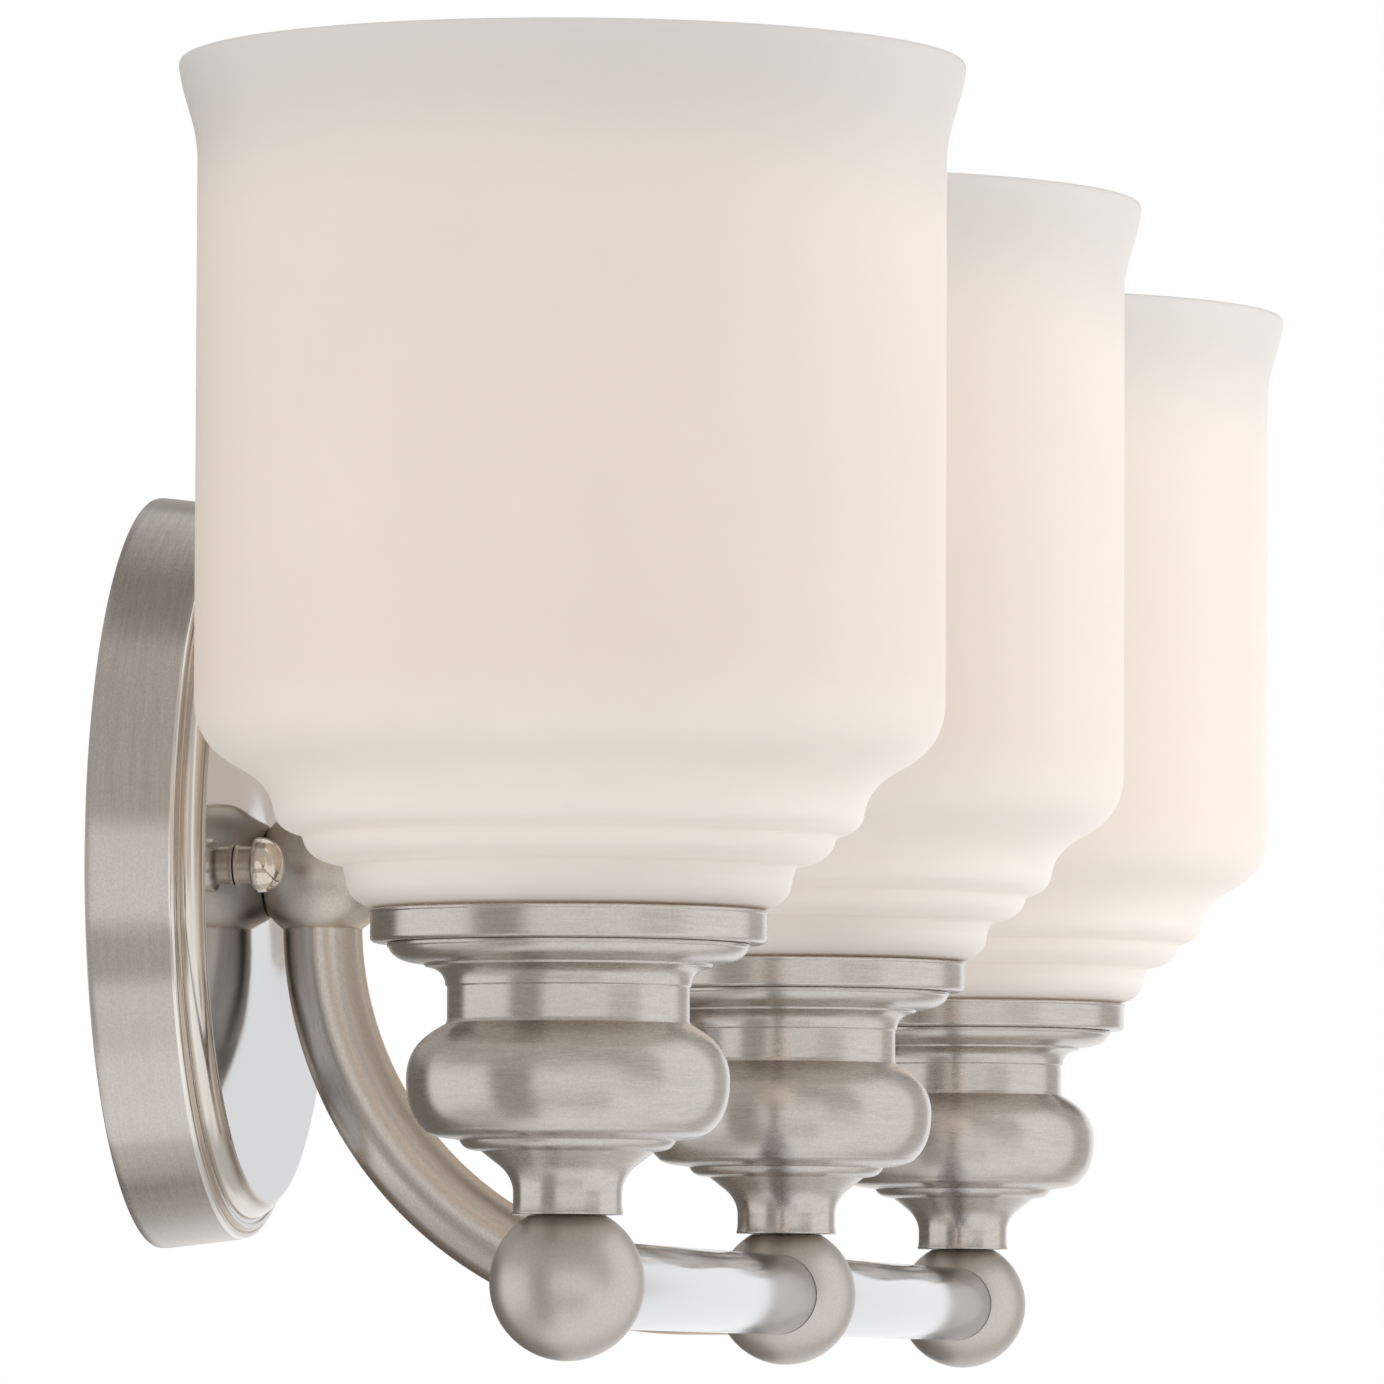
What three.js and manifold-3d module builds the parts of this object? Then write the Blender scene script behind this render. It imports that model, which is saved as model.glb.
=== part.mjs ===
// Three-light vanity bar: a round wall canopy, a curved arm, a cross bar with ball joints,
// and three turned cups that carry bell-lipped opal glass shades.
// Millimetres. X runs along the bar, -Y faces the room and Z is up.
// The origin is on the wall, at the centre of the canopy.

import * as THREE from 'three';
import { mergeVertices } from 'three/addons/utils/BufferGeometryUtils.js';
import Module from 'manifold-3d';

const wasm = await Module();
wasm.setup();

// ---- Driving dimensions ------------------------------------------------------------------

const fit = 0.3; // clearance between pieces that touch

// layout
const lightSpacing = 254;
const lightReach = 126.4; // wall to the axis of the lights
const ballDrop = 84; // canopy centre down to the ball centres

// canopy
const canopyRadius = 75;
const canopyDepth = 21.9;
const canopySheet = 1.2;
const canopyBandDepth = 16.4; // the brushed band round the rim
const canopyBandDraft = 1.8; // how much smaller the band is at its front
const canopyLedge = 4.2; // width of the stepped moulding's lower ledge
const canopyFaceInset = 3.8; // from the ledge's inner edge to the edge of the raised face

// bracket behind the canopy and what hangs on it
const bracketWidth = 22;
const bracketSheet = 2;
const boxSlotOffset = 11; // middle of a box screw's slot, outside the stud
const boxSlotLength = 10;
const boxSlotWidth = 4.8;
const bracketEnd = 4; // metal beyond a slot
const bracketHole = 6.5;
const studSpacing = 70;
const studRadius = 2.05;
const studProud = 7; // how far a stud stands out of the canopy face
const studNutFlats = 8.7;
const studNutThick = 3.2;
const groundScrewOffset = 18;
const groundHeadRadius = 4;
const groundHeadThick = 2.4;
const groundShank = 1.7;

// cap nuts
const capNeckRadius = 3.7;
const capNeckLength = 4;
const capHeadRadius = 5.4;
const capNutLength = 9.4;

// threaded nipples and their nuts
const nippleRadius = 4.85;
const nippleBore = 3.2;
const nippleNutFlats = 14.2;
const nippleNutThick = 3.2;
const washerRadius = 10;
const washerThick = 1.2;

// balls, knuckle and tubes
const ballWall = 1.9; // metal between the mouth of a tube's socket and the ball's surface
const ballFlatDrop = 1.8; // how much the flat under a cup takes off a ball
const knuckleFlatDrop = 3.4; // the same for the flat against the canopy
const tubeRadius = 7.9;
const tubeWall = 1.5;
const socketCorner = 0.4; // metal between two tube sockets that meet at a right angle
const nippleSeat = 5; // distance from a ball's centre to the end of its nipple
const wirePassage = 4;
const armStraight = 1.2; // straight length of arm below the knuckle

// cup
const cupWall = 1.6;
const neckRadius = 9.7;
const neckFootRadius = 10;
const neckHeight = 8;
const beadStartRadius = 13.4;
const beadPitch = 2.6; // step outwards from one bead to the next
const beadRise = 1.45;
const beadCount = 4;
const bowlFootRadius = 24.4;
const bowlRadius = 28.7;
const bowlMiddle = 23.8; // height of the widest part of the bowl above the cup's foot
const bowlTop = 33.6;
const waistClearance = 0.6; // round the lamp holder where it passes the waist
const waistTop = 41.2;
const coveWidth = 3.9;
const coveStep = 43.6;
const cupRimRadius = 32.2;
const cupHeight = 47.7;
const cupFloor = 18;

// tray
const trayOverhang = 3.3; // beyond the cup's rim
const trayHeight = 5.6;
const traySheet = 1.2;
const trayEdge = 0.6;

// lamp holder
const socketRadius = 19.3;
const socketHeight = 52;
const socketBossRadius = 9.5;
const socketBossHeight = 3;
const socketWall = 2.8;
const socketFloor = 21; // height of the lamp bore's floor above the holder's foot
const socketFloorThick = 3;
const socketLift = 23.7; // holder's foot above the cup's foot
const rivetHole = 3;
const shellWall = 0.5;
const capClearance = 0.5; // between the screw shell and the lamp's cap
const shellDrop = 2; // screw shell's top below the holder's top
const shellFlange = 8;
const contactRadius = 4;
const contactThick = 0.6;

// ring that clamps the glass
const ringWall = 3;
const ringFlangeWidth = 3.4;
const ringFlangeThick = 2.6;
const ringHeight = 8;

// shade
const glass = 3;
const shadeHoleClearance = 1.4; // round the lamp holder
const shadeFootRadius = 33;
const shadeFootHeight = 4.5;
const shadeNeckRadius = 39.5;
const shadeNeckBottom = 9.7;
const shadeNeckTop = { radius: 40.3, height: 12.4 };
const firstScallop = { radius: 47.3, height: 17.7 };
const secondScallop = { radius: 52.3, height: 22 };
const shoulderStart = { radius: 59.4, height: 29.9 };
const shadeRadius = 66.5;
const shadeBodyBottom = 41.4;
const shadeLipLength = 17.7;
const shadeRimRadius = 70;
const shadeHeight = 155.2;

// lamp
const capTipRadius = 4.6;
const capRadius = 12.9;
const capThreadDepth = 0.7;
const capThreadPitch = 3.6;
const capThreads = 3;
const capLength = 25;
const capBore = 11.4;
const bulbRadius = 30;
const bulbLength = 110;
const bulbNeckRadius = 12.8;
const bulbNeckTop = 33;
const bulbWall = 1;

// facets
const shadeSides = 24;
const cupSides = 16;
const socketSides = 12;
const smallSides = 12;
const canopySides = 40;
const curveSteps = 2;

// ---- Places that follow from the dimensions ------------------------------------------------

const tubeSeat = tubeRadius + fit + socketCorner; // distance from a ball's centre to its sockets' floors
const ballRadius = Math.hypot(tubeSeat, tubeRadius + fit) + ballWall;
const ballFlatHeight = ballRadius - ballFlatDrop; // heights above the ball centre
const cupFoot = ballFlatHeight + fit;
const trayFoot = cupFoot + cupHeight + fit;
const shadeFoot = trayFoot + traySheet + fit;
const ringFoot = shadeFoot + glass + fit;
const socketFoot = cupFoot + socketLift;
const contactFoot = socketFoot + socketFloor + fit;
const bulbFoot = contactFoot + contactThick + fit;
const knuckleStandoff = ballRadius - knuckleFlatDrop; // knuckle centre in front of the canopy face
const knuckleDepth = canopyDepth + fit + knuckleStandoff; // knuckle centre from the wall
const armRadius = ballDrop - tubeSeat - fit - armStraight;
const beadsFoot = neckHeight + 2; // above the cup's foot
const waistRadius = socketRadius + waistClearance + cupWall;
const coveStepRadius = waistRadius + coveWidth;
const trayRadius = cupRimRadius + trayOverhang;
const shellBore = capRadius + capClearance;
const socketBore = shellBore + shellWall + fit;
const shadeHole = socketRadius + shadeHoleClearance;
const shadeLipBottom = shadeHeight - shadeLipLength;
const boxScrewSpacing = studSpacing + 2 * boxSlotOffset;
const bracketLength = boxScrewSpacing + boxSlotLength + 2 * bracketEnd;

// ---- Materials -----------------------------------------------------------------------------

const metal = (color, roughness) => new THREE.MeshStandardMaterial({ color, roughness, metalness: 1 });
const plain = (color, roughness) => new THREE.MeshStandardMaterial({ color, roughness, metalness: 0 });

const satinNickel = metal(0xb5aca3, 0.38);
const polishedNickel = metal(0xd6d2cc, 0.1);
const zincSteel = metal(0x9da0a3, 0.45);
const brass = metal(0xb89a5a, 0.35);
const greenScrew = metal(0x3f7a4a, 0.5);
const phenolic = plain(0x24211f, 0.5);
const opalGlass = plain(0xf1e9de, 0.35);
const bulbFrost = plain(0xf7f3ea, 0.3);

// ---- Geometry helpers ----------------------------------------------------------------------

// A profile is a THREE.Path in (radius, height), drawn so that the outside is walked upwards.
function profile(start, draw) {
  const path = new THREE.Path();
  path.moveTo(...start);
  draw(path);
  return path.getPoints(curveSteps);
}

const closed = (points) => [...points, points[0].clone()];

// Turns a profile about the Z axis.
function turned(points, sides) {
  return new THREE.LatheGeometry(points, sides).rotateX(Math.PI / 2);
}

// The radius at which a faceted hole just clears the circle that goes through it.
const around = (radius, sides) => radius / Math.cos(Math.PI / sides);

function solidOf(geometry) {
  const bare = new THREE.BufferGeometry();
  bare.setAttribute('position', geometry.getAttribute('position'));
  bare.setIndex(geometry.getIndex());
  const merged = mergeVertices(bare);
  const order = merged.getIndex().array;
  const triVerts = [];
  for (let i = 0; i < order.length; i += 3) {
    const [a, b, c] = order.slice(i, i + 3);
    if (a !== b && b !== c && c !== a) triVerts.push(a, b, c);
  }
  const vertProperties = new Float32Array(merged.getAttribute('position').array);
  const mesh = new wasm.Mesh({ numProp: 3, vertProperties, triVerts: new Uint32Array(triVerts) });
  return new wasm.Manifold(mesh);
}

function geometryOf(solid) {
  const mesh = solid.getMesh();
  const geometry = new THREE.BufferGeometry();
  geometry.setAttribute('position', new THREE.BufferAttribute(new Float32Array(mesh.vertProperties), 3));
  geometry.setIndex(new THREE.BufferAttribute(new Uint32Array(mesh.triVerts), 1));
  geometry.computeVertexNormals();
  return geometry;
}

// Cuts tools out of a body.
function cut(body, tools) {
  return geometryOf(tools.reduce((solid, tool) => solid.subtract(solidOf(tool)), solidOf(body)));
}

// A round drill that starts at a point and runs the given length along a direction.
function drill(radius, from, direction, length) {
  const geometry = new THREE.CylinderGeometry(radius, radius, length, smallSides);
  geometry.translate(0, length / 2, 0);
  geometry.applyQuaternion(new THREE.Quaternion().setFromUnitVectors(new THREE.Vector3(0, 1, 0), direction));
  return geometry.translate(from.x, from.y, from.z);
}

const centre = new THREE.Vector3();
const left = new THREE.Vector3(-1, 0, 0);
const right = new THREE.Vector3(1, 0, 0);
const up = new THREE.Vector3(0, 0, 1);
const down = new THREE.Vector3(0, 0, -1);
const wallward = new THREE.Vector3(0, 1, 0);

const corners = (...places) => places.map(([radius, height]) => new THREE.Vector2(radius, height));

// A plain round rod.
function rod(radius, length) {
  return turned(corners([0, 0], [radius, 0], [radius, length], [0, length]), smallSides);
}

// A ring with square edges, such as a washer, a tube or a nipple.
function sleeve(outer, inner, length) {
  return turned(closed(corners([inner, 0], [outer, 0], [outer, length], [inner, length])), smallSides);
}

const roundHole = (x, radius) => new THREE.Path().absarc(x, 0, radius, 0, 2 * Math.PI, true);

function hexNut(flats, bore, thick) {
  const outline = new THREE.Shape();
  const corner = flats / Math.sqrt(3);
  for (let i = 0; i < 6; i += 1) {
    const angle = (i * Math.PI) / 3;
    const place = [corner * Math.cos(angle), corner * Math.sin(angle)];
    if (i === 0) outline.moveTo(...place);
    else outline.lineTo(...place);
  }
  outline.holes.push(roundHole(0, bore));
  return new THREE.ExtrudeGeometry(outline, { depth: thick, bevelEnabled: false, curveSegments: 6 });
}

function piece(name, geometry, material, x = 0, y = 0, z = 0) {
  const mesh = new THREE.Mesh(geometry, material);
  mesh.name = name;
  mesh.position.set(x, y, z);
  return mesh;
}

// ---- Canopy and its fixings, drawn along +Z as the way out of the wall -----------------------

function canopyGeometry() {
  const bandFront = canopyRadius - canopyBandDraft;
  const ledgeRadius = bandFront - canopyLedge;
  const faceRadius = ledgeRadius - canopyFaceInset;
  const hole = nippleRadius + fit;
  const ledgeDepth = canopyBandDepth + 1.7;
  const inside = canopyDepth - canopySheet;
  const shell = turned(closed(profile([canopyRadius, 0], (path) => {
    path.lineTo(canopyRadius, 1.2);
    path.lineTo(bandFront, canopyBandDepth);
    path.quadraticCurveTo(bandFront - 0.2, ledgeDepth - 0.1, bandFront - 1.8, ledgeDepth);
    path.lineTo(ledgeRadius + 0.9, ledgeDepth);
    path.quadraticCurveTo(ledgeRadius, ledgeDepth + 0.1, ledgeRadius - 0.1, ledgeDepth + 1.1);
    path.lineTo(ledgeRadius - 0.5, canopyDepth - 1.6);
    path.quadraticCurveTo(ledgeRadius - 1, canopyDepth - 0.3, faceRadius, canopyDepth);
    path.lineTo(hole, canopyDepth);
    path.lineTo(hole, inside);
    path.lineTo(faceRadius - canopySheet / 2, inside);
    path.lineTo(ledgeRadius - canopySheet - 0.5, inside - 0.6);
    path.lineTo(ledgeRadius - canopySheet, ledgeDepth - canopySheet);
    path.lineTo(bandFront - canopySheet - 0.4, canopyBandDepth - 0.2);
    path.lineTo(canopyRadius - canopySheet, 1);
    path.lineTo(canopyRadius - canopySheet, 0);
  })), canopySides);
  const screwHoles = [-1, 1].map((side) => {
    const from = new THREE.Vector3((side * studSpacing) / 2, 0, canopyDepth / 2);
    return drill(studRadius + fit, from, up, canopyDepth);
  });
  return cut(shell, screwHoles);
}

function slot(x, width, length) {
  const path = new THREE.Path();
  const reach = (length - width) / 2;
  path.absarc(x + reach, 0, width / 2, Math.PI / 2, -Math.PI / 2, true);
  path.absarc(x - reach, 0, width / 2, -Math.PI / 2, -1.5 * Math.PI, true);
  return path;
}

function bracketGeometry() {
  const outline = new THREE.Shape();
  const reach = (bracketLength - bracketWidth) / 2;
  outline.absarc(reach, 0, bracketWidth / 2, -Math.PI / 2, Math.PI / 2, false);
  outline.absarc(-reach, 0, bracketWidth / 2, Math.PI / 2, 1.5 * Math.PI, false);
  outline.holes.push(roundHole(0, bracketHole));
  outline.holes.push(roundHole(-groundScrewOffset, groundShank + fit));
  for (const side of [-1, 1]) {
    outline.holes.push(roundHole((side * studSpacing) / 2, studRadius + fit));
    outline.holes.push(slot((side * boxScrewSpacing) / 2, boxSlotWidth, boxSlotLength));
  }
  return new THREE.ExtrudeGeometry(outline, { depth: bracketSheet, bevelEnabled: false, curveSegments: 4 });
}

function groundScrewGeometry() {
  return turned(profile([0, 0], (path) => {
    path.lineTo(groundShank, 0);
    path.lineTo(groundShank, bracketSheet + fit);
    path.lineTo(groundHeadRadius, bracketSheet + fit);
    path.lineTo(groundHeadRadius, bracketSheet + fit + groundHeadThick / 2);
    path.quadraticCurveTo(groundHeadRadius - 0.4, bracketSheet + fit + groundHeadThick,
      0, bracketSheet + fit + groundHeadThick);
  }), smallSides);
}

// The nut is a turned form with a blind bore: foot, waisted neck and domed head.
function capNutGeometry() {
  const bore = studRadius + fit;
  const boreDepth = studProud + fit;
  return turned(closed(profile([0, boreDepth], (path) => {
    path.lineTo(bore, boreDepth);
    path.lineTo(bore, 0);
    path.lineTo(capNeckRadius + 0.3, 0);
    path.lineTo(capNeckRadius, 0.6);
    path.lineTo(capNeckRadius, capNeckLength - 0.5);
    path.quadraticCurveTo(capHeadRadius, capNeckLength - 0.5, capHeadRadius, capNeckLength + 0.8);
    path.bezierCurveTo(capHeadRadius, capNutLength - 1.6, capHeadRadius * 0.6, capNutLength, 0, capNutLength);
  })), smallSides);
}

function canopyGroup() {
  const group = new THREE.Group();
  group.rotation.x = Math.PI / 2;
  group.add(piece('canopy', canopyGeometry(), satinNickel));
  group.add(piece('mounting_bracket', bracketGeometry(), zincSteel));
  group.add(piece('ground_screw', groundScrewGeometry(), greenScrew, -groundScrewOffset));

  const stud = rod(studRadius, canopyDepth + fit + studProud);
  const studNut = hexNut(studNutFlats, studRadius + fit, studNutThick);
  const capNut = capNutGeometry();
  for (const [name, side] of [['left', -1], ['right', 1]]) {
    const x = (side * studSpacing) / 2;
    group.add(piece(`stud_${name}`, stud, zincSteel, x));
    group.add(piece(`stud_nut_${name}`, studNut, zincSteel, x, 0, bracketSheet + fit));
    group.add(piece(`cap_nut_${name}`, capNut, polishedNickel, x, 0, canopyDepth + fit));
  }

  const washerDepth = canopyDepth - canopySheet - fit - washerThick;
  const locknutDepth = washerDepth - fit - nippleNutThick;
  const nippleStart = locknutDepth - 1.5;
  const nippleEnd = knuckleDepth - nippleSeat - fit;
  group.add(piece('nipple_washer', sleeve(washerRadius, nippleRadius + fit, washerThick), zincSteel,
    0, 0, washerDepth));
  group.add(piece('nipple_locknut', hexNut(nippleNutFlats, nippleRadius + fit, nippleNutThick), zincSteel,
    0, 0, locknutDepth));
  group.add(piece('knuckle_nipple', sleeve(nippleRadius, nippleBore, nippleEnd - nippleStart), zincSteel,
    0, 0, nippleStart));
  return group;
}

// ---- Knuckle, arm, bars and balls ------------------------------------------------------------

const ballBlank = () => new THREE.SphereGeometry(ballRadius, 16, 10).rotateX(Math.PI / 2);

// A ball with a tube socket in each given direction, a flat with a nipple bore in another,
// and wire passages from all of them to its centre.
function ballGeometry(tubeWays, nippleWay, flatHeight) {
  const reach = 2 * ballRadius;
  const tools = tubeWays.flatMap((way) => [
    drill(tubeRadius + fit, way.clone().multiplyScalar(tubeSeat), way, reach),
    drill(wirePassage, centre, way, reach),
  ]);
  tools.push(drill(reach, nippleWay.clone().multiplyScalar(flatHeight), nippleWay, reach));
  tools.push(drill(nippleRadius + fit, nippleWay.clone().multiplyScalar(nippleSeat), nippleWay, reach));
  tools.push(drill(wirePassage, centre, nippleWay, reach));
  return cut(ballBlank(), tools);
}

function armGeometry() {
  const seat = tubeSeat + fit;
  const top = new THREE.Vector3(0, -knuckleDepth, -seat);
  const bendTop = new THREE.Vector3(0, -knuckleDepth, -seat - armStraight);
  const bendEnd = new THREE.Vector3(0, -knuckleDepth - armRadius, -ballDrop);
  const end = new THREE.Vector3(0, -lightReach + seat, -ballDrop);
  const path = new THREE.CurvePath();
  path.add(new THREE.LineCurve3(top, bendTop));
  path.add(new QuarterBend(bendTop, bendEnd));
  path.add(new THREE.LineCurve3(bendEnd, end));
  const section = new THREE.Shape().absarc(0, 0, tubeRadius, 0, 2 * Math.PI, false);
  section.holes.push(roundHole(0, tubeRadius - tubeWall));
  return new THREE.ExtrudeGeometry(section, { steps: 14, curveSegments: 6, extrudePath: path });
}

// A quarter circle in a plane of constant X that leaves its start downwards and ends level.
class QuarterBend extends THREE.Curve {
  constructor(start, end) {
    super();
    this.start = start;
    this.end = end;
  }

  getPoint(t, target = new THREE.Vector3()) {
    const angle = (t * Math.PI) / 2;
    const y = THREE.MathUtils.lerp(this.end.y, this.start.y, Math.cos(angle));
    const z = THREE.MathUtils.lerp(this.start.z, this.end.z, Math.sin(angle));
    return target.set(this.start.x, y, z);
  }
}

function frameGroup() {
  const group = new THREE.Group();
  const knuckle = ballGeometry([down], wallward, knuckleStandoff);
  group.add(piece('knuckle', knuckle, satinNickel, 0, -knuckleDepth));
  group.add(piece('arm_tube', armGeometry(), satinNickel));
  const seat = tubeSeat + fit;
  const bar = sleeve(tubeRadius, tubeRadius - tubeWall, lightSpacing - 2 * seat).rotateY(Math.PI / 2);
  group.add(piece('bar_left', bar, polishedNickel, -lightSpacing + seat, -lightReach, -ballDrop));
  group.add(piece('bar_right', bar, polishedNickel, seat, -lightReach, -ballDrop));
  return group;
}

// ---- One light, drawn above the centre of its ball -------------------------------------------

function cupGeometry() {
  const bore = nippleRadius + fit;
  const neck = profile([bore, 0], (path) => {
    path.lineTo(neckFootRadius, 0);
    path.lineTo(neckRadius, 1.8);
    path.lineTo(neckRadius, neckHeight - 2.4);
    path.quadraticCurveTo(neckRadius + 0.3, neckHeight + 0.6, beadStartRadius, beadsFoot);
    for (let i = 1; i < beadCount; i += 1) {
      const r = beadStartRadius + i * beadPitch;
      const z = beadsFoot + i * beadRise;
      path.quadraticCurveTo(r - 0.3, z - beadRise, r, z);
    }
  });
  const bowl = profile([bowlFootRadius, beadsFoot + beadCount * beadRise], (path) => {
    path.quadraticCurveTo(bowlRadius, bowlMiddle - 4.4, bowlRadius, bowlMiddle);
    path.bezierCurveTo(bowlRadius, bowlTop - 3.6, waistRadius + 3.2, bowlTop - 1.6,
      waistRadius + 0.4, bowlTop);
    path.lineTo(waistRadius, bowlTop + 0.8);
    path.lineTo(waistRadius, waistTop - 0.5);
    path.quadraticCurveTo(waistRadius + 0.4, waistTop + 1.8, coveStepRadius, coveStep);
    path.lineTo(coveStepRadius + 1.6, coveStep + 0.3);
    path.quadraticCurveTo(cupRimRadius - 1, coveStep + 0.9, cupRimRadius, cupHeight - 0.6);
    path.lineTo(cupRimRadius, cupHeight);
  });
  const inside = profile([cupRimRadius - cupWall, cupHeight], (path) => {
    path.lineTo(cupRimRadius - cupWall, cupHeight - 0.9);
    path.lineTo(coveStepRadius - cupWall, coveStep + 0.9);
    path.lineTo(waistRadius - cupWall, waistTop + 0.6);
    path.lineTo(waistRadius - cupWall, bowlTop - 0.6);
    path.lineTo(bowlRadius - cupWall, bowlMiddle);
    path.lineTo(bowlFootRadius - cupWall, cupFloor);
    path.lineTo(bore, cupFloor);
  });
  return turned(closed([...neck, ...bowl, ...inside]), cupSides);
}

function trayGeometry() {
  const inner = trayRadius - traySheet;
  const hole = around(socketRadius + fit, shadeSides);
  return turned(closed(profile([hole, 0], (path) => {
    path.lineTo(trayRadius - trayEdge, 0);
    path.lineTo(trayRadius, trayEdge);
    path.lineTo(trayRadius, trayHeight);
    path.lineTo(inner, trayHeight);
    path.lineTo(inner, traySheet);
    path.lineTo(hole, traySheet);
  })), shadeSides);
}

function socketGeometry() {
  const nippleHole = nippleRadius + fit;
  const chamber = socketRadius - socketWall;
  const chamberTop = socketFloor - socketFloorThick;
  return turned(closed(profile([nippleHole, 0], (path) => {
    path.lineTo(socketBossRadius, 0);
    path.lineTo(socketBossRadius, socketBossHeight);
    path.lineTo(socketRadius - 1, socketBossHeight + 0.6);
    path.lineTo(socketRadius, socketBossHeight + 2);
    path.lineTo(socketRadius, socketHeight);
    path.lineTo(socketBore, socketHeight);
    path.lineTo(socketBore, socketFloor);
    path.lineTo(rivetHole, socketFloor);
    path.lineTo(rivetHole, chamberTop);
    path.lineTo(chamber, chamberTop);
    path.lineTo(chamber, socketBossHeight + 3);
    path.lineTo(nippleHole, socketBossHeight + 3);
  })), socketSides);
}

function screwShellGeometry() {
  const outer = shellBore + shellWall;
  const top = socketHeight - socketFloor - fit - shellDrop;
  return turned(closed(profile([shellFlange, 0], (path) => {
    path.lineTo(outer, 0);
    path.lineTo(outer, top);
    path.lineTo(shellBore, top);
    path.lineTo(shellBore, shellWall);
    path.lineTo(shellFlange, shellWall);
  })), socketSides);
}

// The centre contact is a rivet whose head faces the lamp.
function contactGeometry() {
  const shank = rivetHole - fit;
  return turned(profile([0, -socketFloorThick], (path) => {
    path.lineTo(shank, -socketFloorThick);
    path.lineTo(shank, 0);
    path.lineTo(contactRadius, 0);
    path.lineTo(contactRadius, contactThick);
    path.lineTo(0, contactThick);
  }), smallSides);
}

function ringGeometry() {
  const bore = socketRadius + fit;
  const collar = bore + ringWall;
  const flange = collar + ringFlangeWidth;
  return turned(closed(profile([bore, 0], (path) => {
    path.lineTo(flange, 0);
    path.lineTo(flange, ringFlangeThick);
    path.lineTo(collar, ringFlangeThick);
    path.lineTo(collar, ringHeight - 0.6);
    path.lineTo(collar - 0.6, ringHeight);
    path.lineTo(bore, ringHeight);
  })), socketSides);
}

// Foot, two scallops and an S-shaped shoulder, then a straight body with a flared lip.
function shadeGeometry() {
  const rimFoot = shadeHeight - glass / 2;
  return turned(closed(profile([shadeHole, 0], (path) => {
    path.lineTo(shadeFootRadius - 1.2, 0);
    path.lineTo(shadeFootRadius, 1.2);
    path.lineTo(shadeFootRadius, shadeFootHeight);
    path.quadraticCurveTo(shadeNeckRadius - 0.3, shadeFootHeight + 0.6, shadeNeckRadius, shadeNeckBottom);
    path.lineTo(shadeNeckTop.radius, shadeNeckTop.height);
    path.quadraticCurveTo(firstScallop.radius - 0.7, shadeNeckTop.height + 0.4,
      firstScallop.radius, firstScallop.height);
    path.quadraticCurveTo(secondScallop.radius - 0.4, firstScallop.height + 0.6,
      secondScallop.radius, secondScallop.height);
    path.quadraticCurveTo(secondScallop.radius + 1.3, shoulderStart.height - 2.1,
      shoulderStart.radius, shoulderStart.height);
    path.quadraticCurveTo(shadeRadius - 0.2, shoulderStart.height + 4.1, shadeRadius, shadeBodyBottom);
    path.lineTo(shadeRadius, shadeLipBottom);
    path.quadraticCurveTo(shadeRadius + 0.6, shadeHeight - 8, shadeRimRadius, rimFoot);
    path.lineTo(shadeRimRadius - glass / 2, shadeHeight);
    path.lineTo(shadeRimRadius - glass, rimFoot);
    path.lineTo(shadeRadius - glass, shadeLipBottom + 1);
    path.lineTo(shadeRadius - glass, shadeBodyBottom);
    path.lineTo(shoulderStart.radius - 0.6 * glass, shoulderStart.height + 0.8 * glass);
    path.lineTo(secondScallop.radius - glass, secondScallop.height + 1);
    path.lineTo(firstScallop.radius - glass, firstScallop.height + 1);
    path.lineTo(shadeNeckRadius - glass, shadeNeckBottom + glass / 2);
    path.lineTo(shadeFootRadius - glass, shadeFootHeight + glass / 2);
    path.lineTo(shadeFootRadius - glass, glass);
    path.lineTo(shadeHole, glass);
  })), shadeSides);
}

function bulbCapGeometry() {
  const threadFoot = 5.5;
  return turned(profile([0, 0], (path) => {
    path.lineTo(capTipRadius, 0.4);
    path.lineTo(capTipRadius + 0.6, 1.6);
    path.lineTo(capRadius - 2.2, threadFoot - 1);
    for (let i = 0; i < capThreads; i += 1) {
      const z = threadFoot + i * capThreadPitch;
      path.lineTo(capRadius - capThreadDepth, z);
      path.lineTo(capRadius, z + capThreadPitch / 2);
    }
    path.lineTo(capRadius - capThreadDepth, threadFoot + capThreads * capThreadPitch);
    path.lineTo(capRadius, capLength);
    path.lineTo(capBore, capLength);
    path.lineTo(capBore, threadFoot);
    path.lineTo(0, threadFoot);
  }), socketSides);
}

// The envelope is blown glass, open at its neck, where the cap closes it.
function bulbGlassGeometry() {
  const foot = capLength + fit;
  const skin = (wall) => profile([bulbNeckRadius - wall, foot], (path) => {
    const radius = bulbRadius - wall;
    const middle = bulbLength - bulbRadius;
    const top = bulbLength - wall;
    path.lineTo(bulbNeckRadius - wall, bulbNeckTop - 3);
    path.bezierCurveTo(bulbNeckRadius + 3 - wall, bulbNeckTop + 14, radius, middle - 20, radius, middle);
    path.bezierCurveTo(radius, middle + 0.55 * radius, 0.55 * radius, top, 0, top);
  });
  return turned([...skin(bulbWall).reverse(), ...skin(0)], socketSides);
}

const shared = {
  nipple: sleeve(nippleRadius, nippleBore, socketFoot + socketBossHeight - nippleSeat - fit),
  cup: cupGeometry(),
  cupNut: hexNut(nippleNutFlats, nippleRadius + fit, nippleNutThick),
  tray: trayGeometry(),
  socket: socketGeometry(),
  screwShell: screwShellGeometry(),
  contact: contactGeometry(),
  ring: ringGeometry(),
  shade: shadeGeometry(),
  bulbCap: bulbCapGeometry(),
  bulbGlass: bulbGlassGeometry(),
};

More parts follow.
